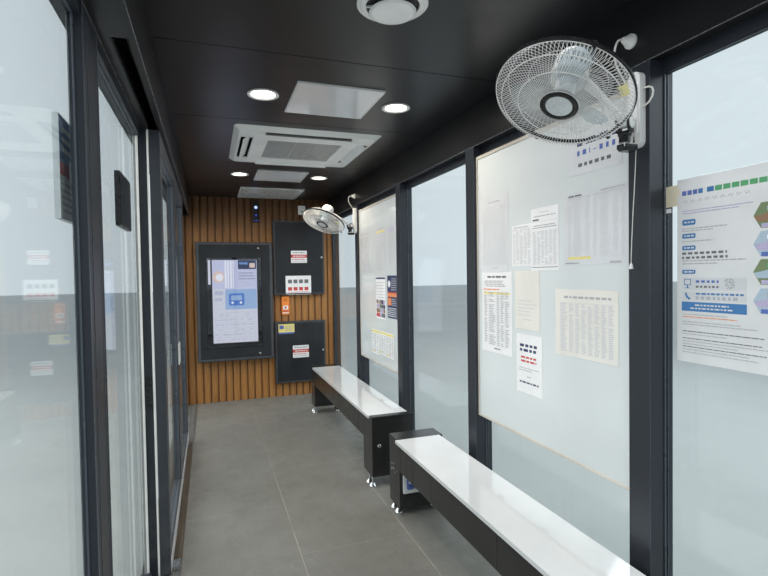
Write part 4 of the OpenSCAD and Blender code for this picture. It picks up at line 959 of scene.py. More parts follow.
for k, (zc, pal) in enumerate(((1.6960, ("ink_moss", "ink_brown", "ink_haze")), (1.6160, ("ink_haze", "ink_lilac", "paper")), (1.5370, ("ink_moss", "ink_haze", "ink_green")), (1.4550, ("ink_haze", "ink_lilac", "ink_soft")))):
    for m2, dx in ((0, 0.0), (1, 0.088)):
        cx0, rr = 1.612 + dx * 0.9, 0.0415
        hexa = [(cx0 + rr * math.cos(math.radians(60 * q)), zc + (0.0 if m2 == 0 else 0.040) + rr * math.sin(math.radians(60 * q))) for q in range(6)]
        if cx0 + rr > 1.742:
            continue
        s.poly(g, [(U(a), V(b)) for a, b in hexa], P[pal[0]], 0.0010)
        mid = sum(q[1] for q in hexa) / 6
        s.poly(g, [(U(a), V(b)) for a, b in ((cx0 - rr * 0.72, mid - rr * 0.42), (cx0 + rr * 0.72, mid - rr * 0.42), (cx0 + rr * 0.95, mid), (cx0 + rr * 0.3, mid + rr * 0.25), (cx0 - rr * 0.4, mid + rr * 0.05), (cx0 - rr * 0.95, mid - 0.002))], P[pal[1]], 0.0012)
        s.rect(g, U(cx0 - rr * 0.46), V(mid - rr * 0.84), U(cx0 + rr * 0.46), V(mid - rr * 0.55), P["ink_blue" if k % 2 else "ink_lilac"], 0.0014)
        s.rect(g, U(cx0 - rr * 0.1), V(mid + rr * 0.3), U(cx0 + rr * 0.4), V(mid + rr * 0.6), P[pal[2]], 0.0012)
g.make("glass_poster", PM, thick=0.0003)
g = B()
s = Sheet((1.2805, 0.8655, 1.757), (0.054, 0, 0), (0, 0, 0.069), (0, -1, 0), 0.0006, 19)
s.page(g, 0, 4, 4)
s = Sheet((1.2835, 0.8655, 1.738), (0.019, 0, 0), (0, 0, 0.014), (0, -1, 0), 0.0, 19)
s.page(g, 1, 1, 1)
g.make("glass_tags", ["tag_cream", "paper"], thick=0.0003)


# ------------------------------------------------------------------ ceiling unit, hatches, diffuser
AX, AY = -1.066, 0.040
g = B()
for i in range(-41, 42):
    x = AX + 0.006 * i
    g.box(x - 0.0017, x + 0.0017, AY - 0.250, AY + 0.250, 2.4505, 2.4540)
for j in (-0.17, -0.06, 0.06, 0.17):
    g.box(AX - 0.250, AX + 0.250, AY + j - 0.0035, AY + j + 0.0035, 2.4492, 2.4530)
g.make("unit_grille", ["grille"])
g = B()
o1, o2 = rounded(0.349, 0.349, 0.030, 6), rounded(0.252, 0.252, 0.010, 6)
c = len(o1)
for z0, z1 in ((2.4490, 2.4452),):
    v = [(AX + a, AY + b, z0) for a, b in o1] + [(AX + a * 0.994, AY + b * 0.994, z1) for a, b in o1] + [(AX + a, AY + b, z1) for a, b in o2] + [(AX + a, AY + b, z0) for a, b in o2]
    fs = []
    for lo, hi in ((0, c), (c, 2 * c), (2 * c, 3 * c), (3 * c, 0)):
        fs += [(lo + i, lo + (i + 1) % c, hi + (i + 1) % c, hi + i) for i in range(c)]
    g.add(v, fs, 0)
for s in (-1, 1):
    g.box(AX + s * 0.150 - 0.020, AX + s * 0.150 + 0.020, AY - 0.262, AY - 0.256, 2.4438, 2.4452, 0)
g.make("unit_panel", ["white"], bevel=0.0008)
g = B()
for s, t in ((1, 0), (-1, 0), (0, 1), (0, -1)):
    cxx, cyy = AX + 0.388 * s, AY + 0.388 * t
    for q in (-1, 1):
        for e in (-0.1, 0.1):
            pass
        if s:
            g.box(cxx + q * 0.0395 - 0.0015, cxx + q * 0.0395 + 0.0015, cyy - 0.281, cyy + 0.281, 2.4478, 2.4490)
        else:
            g.box(cxx - 0.281, cxx + 0.281, cyy + q * 0.0395 - 0.0015, cyy + q * 0.0395 + 0.0015, 2.4478, 2.4490)
g.make("unit_outlet_lips", ["white"])

g = B()
for x0, y0, h in ((-0.044, 0.040, 0.2175), (-2.107, 0.040, 0.2175), (-3.109, 0.055, 0.3250)):
    zb = 2.4628 if h < 0.3 else 2.4648
    for sx, sy, wx, wy in ((0, 1, h + 0.004, 0.0025), (0, -1, h + 0.004, 0.0025), (1, 0, 0.0025, h), (-1, 0, 0.0025, h)):
        g.box(x0 + sx * (h + 0.0015) - wx, x0 + sx * (h + 0.0015) + wx, y0 + sy * (h + 0.0015) - wy, y0 + sy * (h + 0.0015) + wy, zb, 2.4735)
g.make("ceiling_panel_rims", ["white"], bevel=0.0006)
g = B()
g.box(-3.109 - 0.305, -3.109 + 0.305, 0.055 - 0.305, 0.055 + 0.305, 2.4635, 2.4650)
for y in (-0.20, 0.31):
    g.lathe([(0.0, 0.0), (0.009, 0.0), (0.009, 0.0012), (0.0, 0.0012)], (-2.840, y, 2.4622), (0, 0, 1), 20)
g.make("hatch_door", ["hatch"], bevel=0.001)
g = B()
for x, y in ((-0.044, -0.320), (-0.044, 0.400), (-2.107, -0.320), (-2.107, 0.400)):
    g.lathe([(0.0575, 0.016), (0.0600, 0.002), (0.0640, -0.0035), (0.0740, -0.0060), (0.0785, -0.0045), (0.0790, 0.0)], (x, y, 2.4705), (0, 0, 1), 64)
g.make("downlight_rims", ["white"], thick=0.0008)
g = B()
for q, z in ((0.1105, 2.4632), (0.0745, 2.4400)):
    g.lathe([(q, -0.0010), (q + 0.0014, 0.0), (q, 0.0010), (q - 0.0014, 0.0), (q, -0.0010)], (0.943, 0.015, z), (0, 0, 1), 72)
for q in (0, 120, 240):
    g.lathe([(0.0, 0.0), (0.0032, 0.0), (0.0026, -0.0012), (0.0, -0.0014)], (0.943 + 0.108 * math.cos(math.radians(q + 40)), 0.015 + 0.108 * math.sin(math.radians(q + 40)), 2.4640), (0, 0, 1), 16, 1)
g.make("diffuser_rings", ["white_line", "steel"])
# painted highlight strips along the lower edges of the headers, and the brushes in the door slot
g = B()
g.box(-3.430, 3.540, -0.8886, -0.8864, 2.2480, 2.2500)
g.box(-3.482, 3.540, 0.7990, 0.8012, 2.2480, 2.2500)
g.box(-3.500, 3.540, -0.7880, -0.7862, 2.2488, 2.2514)
g.make("header_edge_highlights", ["edge_highlight_pale"], bevel=0.0004)
g = B()
g.box(-3.425, 0.920, -0.8568, -0.8530, 2.2500, 2.2640)
g.box(-3.425, 0.920, -0.8120, -0.8082, 2.2500, 2.2640)
g.make("header_brushes", ["gap"])

# ------------------------------------------------------------------ glazing beads
def ring_beads(g, plane, a0, a1, z0, z1, p0, p1, w=0.0045, m=0):
    """Four slender bars round an opening; plane says which way the pane lies."""
    for u0, u1, q0, q1 in ((a0, a0 + w, z0, z1), (a1 - w, a1, z0, z1), (a0 + w, a1 - w, z0, z0 + w), (a0 + w, a1 - w, z1 - w, z1)):
        if plane == "x":
            g.box(u0, u1, p0, p1, q0, q1, m)
        else:
            g.box(p0, p1, u0, u1, q0, q1, m)


g = B()
for a0, a1 in ((-3.430, -2.145), (-0.015, 0.940), (1.124, 2.365), (2.455, 3.540)):
    ring_beads(g, "x", a0, a1, 0.150, 2.210, -0.9098, -0.9050, 0.004)
    ring_beads(g, "x", a0, a1, 0.150, 2.210, -0.9200, -0.9182, 0.002)
for a0, a1 in ((-3.482, -2.292), (-2.202, -1.123), (-1.033, 0.013), (0.103, 1.188), (1.278, 2.365), (2.455, 3.540)):
    ring_beads(g, "x", a0, a1, 0.150, 2.210, 0.8600, 0.8655)
    ring_beads(g, "x", a0, a1, 0.150, 2.210, 0.8745, 0.8780, 0.003)
for a0, a1 in ((-0.887, -0.045), (0.045, 0.800)):
    ring_beads(g, "y", a0, a1, 0.150, 2.210, 3.5740, 3.5855)
    ring_beads(g, "y", a0, a1, 0.150, 2.210, 3.5945, 3.5990, 0.003)
g.make("fixed_beads", ["bead"], bevel=0.0012)
for nm, a0 in (("near", -1.077), ("far", -2.145)):
    g = B()
    ring_beads(g, "x", a0 + 0.090, a0 + 1.062 - 0.090, 0.208, 2.153, -0.8245, -0.8120)
    ring_beads(g, "x", a0 + 0.090, a0 + 1.062 - 0.090, 0.208, 2.153, -0.8460, -0.8335)
    g.make("%s_leaf_beads" % nm, ["bead"], nm + "_leaf", bevel=0.0012)
    g = B()
    g.box(a0 + 0.008, a0 + 1.054, -0.8068, -0.8030, 0.122, 0.188)
    g.make("%s_leaf_kick_strip" % nm, ["kick"], nm + "_leaf", bevel=0.0008)
# painted highlight: a pale strip along the leaf's edge
g = B()
g.box(-0.0150, -0.0120, -0.8625, -0.8540, 0.122, 2.243)
g.make("near_leaf_edge_highlight", ["white_line"], "near_leaf", bevel=0.0006)
# painted highlight: a pale strip along the jamb by the glass edge
g = B()
g.box(-0.0105, -0.0015, -0.9090, -0.8990, 0.152, 2.2080)
g.make("jamb_edge_highlight", ["white_line"], bevel=0.0008)
# pulls on the two leaves, inside and outside, and the lock on the jamb
for nm, x in (("near", -1.030), ("far", -1.130)):
    g = B()
    g.prism(rounded(0.0095, 0.071, 0.006, 5), (x, -0.806, 1.036), (1, 0, 0), (0, 0, 1), (0, 0.0070, 0))
    g.prism(rounded(0.0095, 0.071, 0.006, 5), (x, -0.852, 1.036), (1, 0, 0), (0, 0, 1), (0, -0.0060, 0))
    for z in (0.985, 1.087):
        g.lathe([(0.0, 0.0), (0.0038, 0.0), (0.0030, 0.0012), (0.0, 0.0014)], (x, -0.799, z), (0, 1, 0), 16, 1)
    g.make("%s_leaf_pulls" % nm, ["white", "steel"], nm + "_leaf", bevel=0.0015)
g = B()
g.prism(rounded(0.0150, 0.078, 0.007, 5), (-0.0150, -0.880, 1.003), (0, 1, 0), (0, 0, 1), (0.0060, 0, 0))
g.lathe([(0.0, 0.0), (0.0085, 0.0), (0.0085, 0.0030), (0.0070, 0.0042), (0.0, 0.0042)], (-0.0090, -0.880, 1.030), (1, 0, 0), 28)
g.make("jamb_lock", ["black"], bevel=0.0012)
# ribs of the wide jamb
g = B()
for x, w, d in ((0.9450, 0.0040, 0.0016), (0.9720, 0.0010, 0.0010), (1.0750, 0.0014, 0.0014), (1.1190, 0.0040, 0.0016)):
    g.box(x - w, x + w, -0.8870, -0.8870 + d, 0.104, 2.246)
g.make("wide_jamb_ribs", ["bead"])

# ------------------------------------------------------------------ end wall slats
PITCH, PHASE = 0.0818, -0.031
SEC = [(0.0, 0.002), (0.0040, 0.002), (0.0070, 0.016), (0.0125, 0.0195), (0.022, 0.0205), (0.050, 0.0205), (0.0605, 0.0185), (0.0748, 0.0110), (0.0785, 0.002), (PITCH, 0.002)]
CUTS = [(-0.740, 0.106, 0.588, 1.948), (0.124, 0.736, 1.323, 2.216), (0.124, 0.736, 0.264, 1.006)]


def sec_at(d):
    for (a, ha), (b, hb) in zip(SEC, SEC[1:]):
        if a <= d <= b:
            return ha + (hb - ha) * (d - a) / (b - a)
    return 0.002


levels = [0.100, 0.264, 0.588, 1.006, 1.323, 1.948, 2.216, 2.250, 2.473]
sl = B()
k0 = math.floor((-0.866 - PHASE) / PITCH)
for k in range(k0, k0 + 23):
    base = PHASE + k * PITCH
    runs = []
    for z0, z1 in zip(levels, levels[1:]):
        lo, hi = (-0.866, 0.850) if z0 < 2.249 else (-0.787, 0.800)
        parts = [(max(base, lo), min(base + PITCH, hi))]
        for c0, c1, d0, d1 in CUTS:
            if d0 < z1 - 1e-6 and d1 > z0 + 1e-6:
                nxt = []
                for a, b in parts:
                    if b <= c0 or a >= c1:
                        nxt.append((a, b))
                    else:
                        if a < c0:
                            nxt.append((a, c0))
                        if b > c1:
                            nxt.append((c1, b))
                parts = nxt
        for a, b in parts:
            if b - a > 0.003:
                if runs and any(abs(r_[0] - a) < 1e-6 and abs(r_[1] - b) < 1e-6 and abs(r_[3] - z0) < 1e-6 for r_ in runs):
                    for r_ in runs:
                        if abs(r_[0] - a) < 1e-6 and abs(r_[1] - b) < 1e-6 and abs(r_[3] - z0) < 1e-6:
                            r_[3] = z1
                            break
                else:
                    runs.append([a, b, z0, z1])
    for a, b, z0, z1 in runs:
        pts = [(a, sec_at(a - base))] + [(base + d, h) for d, h in SEC if a + 1e-6 < base + d < b - 1e-6] + [(b, sec_at(b - base))]
        out = [(0.0, a)] + [(h, yy) for yy, h in pts] + [(0.0, b)]
        sl.prism(out, (-3.532, 0, z0), (1, 0, 0), (0, 1, 0), (0, 0, z1 - z0), 0)
sl.make("wall_slats", ["slat"])
g = B()
g.box(-3.532, -3.516, -0.866, 0.850, 0.100, 0.106)
g.make("slat_foot", ["frame_dark"])

# ------------------------------------------------------------------ display
AEY = lambda cx: -0.618 + (cx - 135) / 250 * 0.538
AEZ = lambda cy: 1.757 - (cy - 345) / 405 * 0.959
XS = -3.4278
UI = ["ui_lilac", "ui_pale", "ui_white", "ui_blue", "ui_peach", "ui_grey", "ui_icon", "ui_line", "ui_deep", "ui_sky"]
K = {k: i for i, k in enumerate(UI)}
g = B()


def ui(y0, y1, z0, z1, key, lift=0):
    g.box(XS + 0.0002 * lift, XS + 0.0003 + 0.0002 * lift, y0, y1, z0, z1, K[key])


ui(AEY(158), AEY(388), AEZ(490), AEZ(350), "ui_lilac")
ui(AEY(158), AEY(388), AEZ(752), AEZ(490), "ui_pale")
ui(AEY(138), AEY(150), AEZ(468), AEZ(350), "ui_pale")
for cx, w in ((222, 9), (236, 7), (250, 8), (263, 5)):
    ui(AEY(cx), AEY(cx + w), AEZ(486), AEZ(354), "ui_white", 2)
ui(AEY(290), AEY(385), AEZ(395), AEZ(351), "ui_deep", 3)
ui(AEY(296), AEY(340), AEZ(372), AEZ(362), "ui_blue", 5)
ui(AEY(350), AEY(378), AEZ(388), AEZ(366), "ui_peach", 5)
yc, zc = AEY(190), AEZ(432)
g.prism([(0.066 * math.cos(TAU * q / 40), 0.066 * math.sin(TAU * q / 40)) for q in range(40)], (XS + 0.0004, yc, zc), (0, 1, 0), (0, 0, 1), (0.0004, 0, 0), K["ui_peach"])
g.prism([(0.040 * math.cos(TAU * q / 40), 0.040 * math.sin(TAU * q / 40)) for q in range(40)], (XS + 0.0009, yc + 0.010, zc - 0.006), (0, 1, 0), (0, 0, 1), (0.0003, 0, 0), K["ui_white"])
rr = random.Random(8)
for zz in (AEZ(414), AEZ(428), AEZ(442)):
    yy = AEY(292)
    while yy < AEY(370):
        e = yy + rr.uniform(0.010, 0.024)
        ui(yy, e, zz - 0.0060, zz + 0.0060, "ui_grey", 3)
        yy = e + 0.005
for r0 in range(2):
    zz = AEZ(460 + 14 * r0)
    ui(AEY(285), AEY(340 + 20 * r0), zz - 0.004, zz + 0.004, "ui_line", 3)
ui(AEY(222), AEY(385), AEZ(590), AEZ(492), "ui_sky", 3)
yc, zc = AEY(280), AEZ(542)
g.prism([(a, b) for a, b in rounded(0.086, 0.070, 0.020, 6)], (XS + 0.0010, yc, zc), (0, 1, 0), (0, 0, 1), (0.0004, 0, 0), K["ui_icon"])
g.prism([(a, b) for a, b in rounded(0.060, 0.028, 0.010, 5)], (XS + 0.0015, yc, zc + 0.018), (0, 1, 0), (0, 0, 1), (0.0003, 0, 0), K["ui_sky"])
for q in (-1, 1):
    g.prism([(0.014 * math.cos(TAU * i / 24), 0.014 * math.sin(TAU * i / 24)) for i in range(24)], (XS + 0.0015, yc + q * 0.046, zc - 0.038), (0, 1, 0), (0, 0, 1), (0.0003, 0, 0), K["ui_white"])
ui(AEY(168), AEY(212), AEZ(520), AEZ(500), "ui_line", 3)
ui(AEY(168), AEY(206), AEZ(548), AEZ(534), "ui_line", 3)
for q in range(6):
    zz = AEZ(606 + 24 * q)
    ui(AEY(166), AEY(380), zz - 0.001, zz + 0.001, "ui_line", 2)
    if q < 6:
        yy = AEY(172)
        while yy < AEY(360):
            e = yy + rr.uniform(0.015, 0.05)
            if rr.random() < 0.6:
                ui(yy, e, zz - 0.030, zz - 0.020, "ui_line", 3)
            yy = e + rr.uniform(0.006, 0.03)
g.make("display_picture", UI)
g = B()
g.box(-3.4005, -3.3985, -0.6300, -0.0260, 0.7385, 0.7420)
g.box(-3.4005, -3.3985, -0.6300, -0.0260, 1.7680, 1.7715)
g.box(-3.4005, -3.3985, -0.6335, -0.6300, 0.7385, 1.7715)
g.box(-3.4005, -3.3985, -0.0260, -0.0225, 0.7385, 1.7715)
g.make("display_window_trim", ["trim_dark"], "display_door")
g = B()
for y, z, sy, sz in ((-0.626, 0.746, 1, 1), (-0.030, 0.746, -1, 1), (-0.030, 1.764, -1, -1), (-0.626, 1.764, 1, -1)):
    g.box(XS, XS + 0.0020, min(y, y + sy * 0.030), max(y, y + sy * 0.030), min(z, z + sz * 0.0035), max(z, z + sz * 0.0035))
    g.box(XS, XS + 0.0020, min(y, y + sy * 0.0035), max(y, y + sy * 0.0035), min(z, z + sz * 0.030), max(z, z + sz * 0.030))
g.box(XS, XS + 0.0010, -0.590, -0.040, 0.7520, 0.7545)
g.box(XS, XS + 0.0010, -0.0345, -0.0320, 0.7600, 1.0500)
g.make("display_corner_clips", ["chrome"])
# raised borders of the two cabinet doors and of the display case; their pale colour is a painted highlight on the edges
for nm, z0, z1 in (("upper_door", 1.329, 2.210), ("lower_door", 0.270, 1.000)):
    g = B()
    for y0, y1, q0, q1 in ((0.130, 0.145, z0, z1), (0.715, 0.730, z0, z1), (0.145, 0.715, z0, z0 + 0.015), (0.145, 0.715, z1 - 0.015, z1)):
        g.box(-3.4530, -3.4520, y0, y1, q0, q1)
    g.make(nm + "_border", ["cab_line"], nm, bevel=0.0004)
g = B()
for y0, y1, q0, q1 in ((-0.740, -0.735, 0.588, 1.948), (0.101, 0.106, 0.588, 1.948), (-0.735, 0.101, 0.588, 0.593), (-0.735, 0.101, 1.943, 1.948)):
    g.box(-3.4180, -3.4172, y0, y1, q0, q1)
g.make("display_case_line", ["cab_line"], bevel=0.0003)
g = B()
for y0, y1, q0, q1 in ((-0.734, -0.706, 0.594, 1.942), (0.072, 0.100, 0.594, 1.942), (-0.706, 0.072, 0.594, 0.618), (-0.706, 0.072, 1.920, 1.942)):
    g.box(-3.4000, -3.3988, y0, y1, q0, q1)
g.make("display_door_border", ["cab_line"], "display_door", bevel=0.0004)
# keyholes
for nm, y, z, xf in (("display_door", -0.055, 0.655, -3.400), ("display_door", -0.055, 1.880, -3.400), ("upper_door", 0.700, 1.770, -3.453), ("lower_door", 0.700, 0.640, -3.453)):
    g = B()
    g.lathe([(0.0, 0.0), (0.0125, 0.0), (0.0125, 0.0022), (0.0105, 0.0034), (0.0, 0.0034)], (xf, y, z), (1, 0, 0), 32)
    g.make("lock_%s_%d" % (nm, int(z * 1000)), ["steel"], nm)

# ------------------------------------------------------------------ notices on the two cabinet doors
FX = -3.4530
g = B()
s = on_end(0.332, 0.523, 1.707, 1.853, FX, 0.0, 31)
s.page(g, C["paper"], 1, 1)
s.dashes(g, 0.10, 0.92, 0.80, 0.010, C["ink"], rnd, 0.95, 0.012, 0.03)
s.rect(g, 0.0, 0.42, 1.0, 0.68, C["ink_red"], 0.0008)
s.dashes(g, 0.14, 0.90, 0.51, 0.012, C["paper"], rnd, 1.0, 0.016, 0.03, 0.0011)
for q in range(2):
    s.dashes(g, 0.08, 0.90, 0.26 - 0.15 * q, 0.0085, C["ink_red" if q == 0 else "ink_soft"], rnd, 0.95, 0.012, 0.03)
s = on_end(0.262, 0.568, 1.326, 1.552, FX, 0.0, 32)
s.page(g, C["paper"], 1, 1)
for q in range(4):
    s.rect(g, 0.09 + 0.215 * q, 0.60, 0.245 + 0.215 * q, 0.80, C["ink"])
    s.rect(g, 0.09 + 0.215 * q, 0.22, 0.245 + 0.215 * q, 0.40, C["ink_red"])
s.rect(g, 0.07, 0.12, 0.93, 0.145, C["ink_red"])
g.make("upper_door_notices", INK, "upper_door", thick=0.0003)
g = B()
s = on_end(0.332, 0.525, 0.563, 0.711, FX, 0.0, 33)
s.page(g, C["paper"], 1, 1)
s.dashes(g, 0.10, 0.92, 0.80, 0.010, C["ink"], rnd, 0.95, 0.012, 0.03)
s.rect(g, 0.0, 0.42, 1.0, 0.68, C["ink_red"], 0.0008)
s.dashes(g, 0.14, 0.90, 0.51, 0.012, C["paper"], rnd, 1.0, 0.016, 0.03, 0.0011)
for q in range(2):
    s.dashes(g, 0.08, 0.90, 0.26 - 0.15 * q, 0.0085, C["ink_red" if q == 0 else "ink_soft"], rnd, 0.95, 0.012, 0.03)
s = on_end(0.165, 0.355, 0.858, 0.975, FX, 0.0, 34)
s.page(g, C["ink_yellow"], 1, 1)
s.rect(g, 0.0, 0.0, 1.0, 0.16, C["ink_blue"], 0.0008)
s.rect(g, 0.06, 0.50, 0.34, 0.88, C["ink_blue"], 0.0008)
for q in range(3):
    s.dashes(g, 0.42, 0.95, 0.74 - 0.20 * q, 0.010, C["ink_blue"], rnd, 1.0, 0.010, 0.02)
g.make("lower_door_notices", INK, "lower_door", thick=0.0003)

# ------------------------------------------------------------------ call device, sensor, small box
g = B()
g.prism(rounded(0.031, 0.024, 0.010, 5), (-3.4880, 0.260, 1.172), (0, 1, 0), (0, 0, 1), (0.0040, 0, 0), 0)
g.prism([(0.013 * math.cos(TAU * q / 32), 0.013 * math.sin(TAU * q / 32)) for q in range(32)], (-3.4840, 0.260, 1.172), (0, 1, 0), (0, 0, 1), (0.0030, 0, 0), 2)
for q in range(4):
    g.box(-3.4882, -3.4876, 0.238, 0.282, 1.250 + 0.009 * q, 1.2525 + 0.009 * q, 1)
g.prism(rounded(0.036, 0.006, 0.003, 4), (-3.4880, 0.260, 1.128), (0, 1, 0), (0, 0, 1), (0.0015, 0, 0), 2)
g.prism(rounded(0.036, 0.006, 0.003, 4), (-3.4880, 0.260, 1.108), (0, 1, 0), (0, 0, 1), (0.0015, 0, 0), 3)
g.make("call_device_parts", ["white", "gap", "ink_red", "paper"], bevel=0.0006)
g = B()
for z, q in ((2.362, 0.0185), (2.270, 0.014)):
    g.lathe([(0.0, 0.0), (q + 0.006, 0.0), (q + 0.006, 0.0018), (q + 0.001, 0.0030), (q, 0.0020), (0.0, 0.0020)], (-3.4750, -0.0635, z), (1, 0, 0), 40, 0)
g.make("sensor_bezels", ["black"])
g = B()
g.lathe([(0.0, 0.0), (0.0175, 0.0), (0.016, 0.0035), (0.009, 0.0060), (0.0, 0.0068)], (-3.4735, -0.0635, 2.362), (1, 0, 0), 40)
g.make("sensor_eye", ["eye"])
g = B()
g.lathe([(0.0, 0.0), (0.0130, 0.0), (0.011, 0.0035), (0.006, 0.0050), (0.0, 0.0056)], (-3.4735, -0.0635, 2.270), (1, 0, 0), 40)
g.box(-3.4752, -3.4740, -0.092, -0.035, 2.2050, 2.2140)
g.make("sensor_eye_dim", ["eye_dim"])
g = B()
g.prism(rounded(0.030, 0.038, 0.006, 4), (-3.4950, 0.480, 2.3465), (0, 1, 0), (0, 0, 1), (0.0022, 0, 0), 0)
g.lathe([(0.0, 0.0), (0.010, 0.0), (0.010, 0.002), (0.0, 0.002)], (-3.4930, 0.480, 2.330), (1, 0, 0), 28, 1)
g.make("wall_box_face", ["white_line", "black"], bevel=0.0006)

# ------------------------------------------------------------------ info tablet and outside sign
g = B()
g.prism(rounded(0.128, 0.092, 0.006, 4), (0.436, -0.8940, 1.836), (1, 0, 0), (0, 0, 1), (0, 0.0012, 0), 0)
g.box(0.300, 0.572, -0.8985, -0.8965, 1.834, 1.838, 1)
g.make("tablet_face", ["tablet_glass", "gap"])
g = B()
g.prism(rounded(0.100, 0.060, 0.006, 4), (0.436, -0.9105, 1.836), (1, 0, 0), (0, 0, 1), (0, -0.0040, 0), 0)
g.make("tablet_back", ["black"], bevel=0.001)
g = B()
SB = ["ink_sky", "ink_red", "paper", "ink_soft", "ink_pale"]
for yf, sgn in ((-0.9462, 1), (-0.9598, -1)):
    def sg(x0, x1, z0, z1, m, lift=0.0):
        y0, y1 = sorted((yf + sgn * 0.0002 * lift, yf + sgn * (0.0004 + 0.0002 * lift)))
        g.box(x0, x1, y0, y1, z0, z1, m)
    sg(0.898, 1.112, 1.845, 1.961, 0)
    sg(0.898, 1.112, 1.812, 1.845, 1)
    for q in range(3):
        xx = 0.925
        while xx < 1.080:
            e = xx + rr.uniform(0.010, 0.026)
            sg(xx, e, 1.925 - 0.026 * q, 1.937 - 0.026 * q, 2, 2)
            xx = e + 0.006
    for q in range(5):
        xx = 0.912
        while xx < 1.090:
            e = xx + rr.uniform(0.008, 0.022)
            sg(xx, e, 1.788 - 0.017 * q, 1.794 - 0.017 * q, 3, 1)
            xx = e + 0.005
g.make("outside_sign_art", SB)

# ------------------------------------------------------------------ bench details
BENCH = ((-2.745, -0.620, 0.413, 0.035), (-0.363, 1.762, 0.445, 0.0))
g = B()
for b0, b1, y0, up in BENCH:
    for x, sgn in ((b0, -1), (b1, 1)):
        xa, xb = sorted((x, x + sgn * 0.002))
        g.box(xa, xb, y0 + 0.005, y0 + 0.295, 0.143 + up, 0.526 + up)
g.make("bench_end_plates", ["bench_black"], bevel=0.0008)
g = B()
for b0, b1, y0, up in BENCH:
    for x in (b0 + 0.1395, b1 - 0.0505):
        g.box(x - 0.0008, x + 0.0008, y0 - 0.0125, y0 + 0.2775, 0.5497 + up, 0.5503 + up)
    for x in ((b0 + 0.170, b0 + 0.290) if b0 < -1 else (-0.179, -0.073, 0.018)):
        g.box(x - 0.0012, x + 0.0012, y0 - 0.0005, y0 + 0.0002, 0.372 + up, 0.530 + up)
    for x in (b0 + 0.62, b0 + 1.24, b0 + 1.80):
        g.box(x - 0.0008, x + 0.0008, y0 - 0.0005, y0 + 0.0002, 0.372 + up, 0.530 + up)
    g.box(b0 + 0.14, b1 - 0.05, y0 - 0.0010, y0 + 0.0002, 0.5285 + up, 0.5320 + up)
g.make("bench_seams", ["gap"])
g = B()
for x, y, z in ((-0.618, 0.4635, 0.3843), (1.764, 0.505, 0.344)):
    g.lathe([(0.0, 0.0), (0.013, 0.0), (0.013, 0.003), (0.010, 0.0055), (0.0, 0.0055)], (x, y, z), (1, 0, 0), 36)
    g.box(x + 0.0055, x + 0.0062, y - 0.0015, y + 0.0015, z - 0.007, z + 0.007, 1)
g.make("bench_locks", ["chrome", "gap"])
g = B()
g.box(-0.193, -0.176, 0.466, 0.563, 0.237, 0.262, 0)
g.box(-0.193, -0.180, 0.466, 0.487, 0.262, 0.353, 0)
g.box(-0.193, -0.168, 0.490, 0.525, 0.262, 0.318, 1)
g.box(-0.168, -0.1665, 0.494, 0.521, 0.298, 0.313, 2)
g.lathe([(0.0, 0.0), (0.004, 0.0), (0.004, 0.001), (0.0, 0.001)], (-0.1678, 0.507, 0.282), (1, 0, 0), 20, 3)
g.tube([(-0.180, 0.510, 0.318), (-0.178, 0.512, 0.340), (-0.184, 0.530, 0.360), (-0.190, 0.552, 0.369)], 0.0025, 8, 0)
g.make("socket_box", ["white", "ink_blue", "paper", "gap"], bevel=0.0015)
g = B()
sc = random.Random(12)
for b0, b1, y0, up in BENCH:
    for q in range(15 if up == 0.0 else 6):
        x = b0 + sc.uniform(0.030, 0.125)
        z = 0.340 + up + sc.uniform(-0.010, 0.050)
        w, h = sc.uniform(0.004, 0.013), sc.uniform(0.0020, 0.0052)
        t = sc.uniform(-0.6, 0.6)
        g.add([(x, y0 - 0.0004, z), (x + w, y0 - 0.0004, z + w * t), (x + w * 0.9, y0 - 0.0004, z + w * t + h), (x + 0.3 * w, y0 - 0.0004, z + h * 1.2)], [(0, 1, 2, 3)])
g.make("bench_scuffs", ["ink_soft"], thick=0.0002)
g = B()
for b0, b1, y0, up in BENCH:
    for x, sgn in ((b0, -1), (b1, 1)):
        xa, xb = sorted((x, x + sgn * 0.0032))
        g.box(xa, xb, y0 + 0.0005, y0 + 0.2995, 0.5325 + up, 0.5495 + up)
g.make("bench_cap_ends", ["trim_dark"], bevel=0.001)
g = B()
for b0, b1, y0, up in BENCH:
    for x in (b0 + 0.043, b0 + 0.113, b1 - 0.113, b1 - 0.043):
        for y in (y0 + 0.014, y0 + 0.255):
            g.lathe([(0.0, 0.0), (0.0115, 0.0), (0.0115, 0.0065), (0.0, 0.0065)], (x, y, 0.1262), (0, 0, 1), 6, 0, False)
            for q in range(int((up + 0.006) / 0.0034)):
                g.lathe([(0.0056, 0.0), (0.0067, 0.0008), (0.0056, 0.0016)], (x, y, 0.1336 + 0.0034 * q), (0, 0, 1), 18, 0)
g.make("feet_nuts", ["steel"])

# ------------------------------------------------------------------ outside trims
g = B()
for x in (-2.247, -1.078, 0.058, 1.233, 2.410):
    g.box(x - 0.020, x + 0.020, -0.9665, -0.9650, 2.252, 2.728)
    g.box(x - 0.020, x + 0.020, 0.9650, 0.9665, 2.252, 2.728)
for s in (-1, 1):
    g.box(s * 3.6615 - 0.0015, s * 3.6615 + 0.0015, -0.020, 0.020, 2.252, 2.728)
g.make("fascia_covers", ["roof"], bevel=0.0005)
g = B()
for y0, y1 in ((-0.9685, -0.9650), (0.9650, 0.9685)):
    g.box(-3.663, 3.663, y0, y1, 2.722, 2.7515)
for x0, x1 in ((-3.6635, -3.6600), (3.6600, 3.6635)):
    g.box(x0, x1, -0.965, 0.965, 2.722, 2.7515)
g.box(-3.660, 3.660, -0.965, -0.935, 2.7500, 2.7520)
g.box(-3.660, 3.660, 0.935, 0.965, 2.7500, 2.7520)
g.box(-3.660, -3.630, -0.935, 0.935, 2.7500, 2.7520)
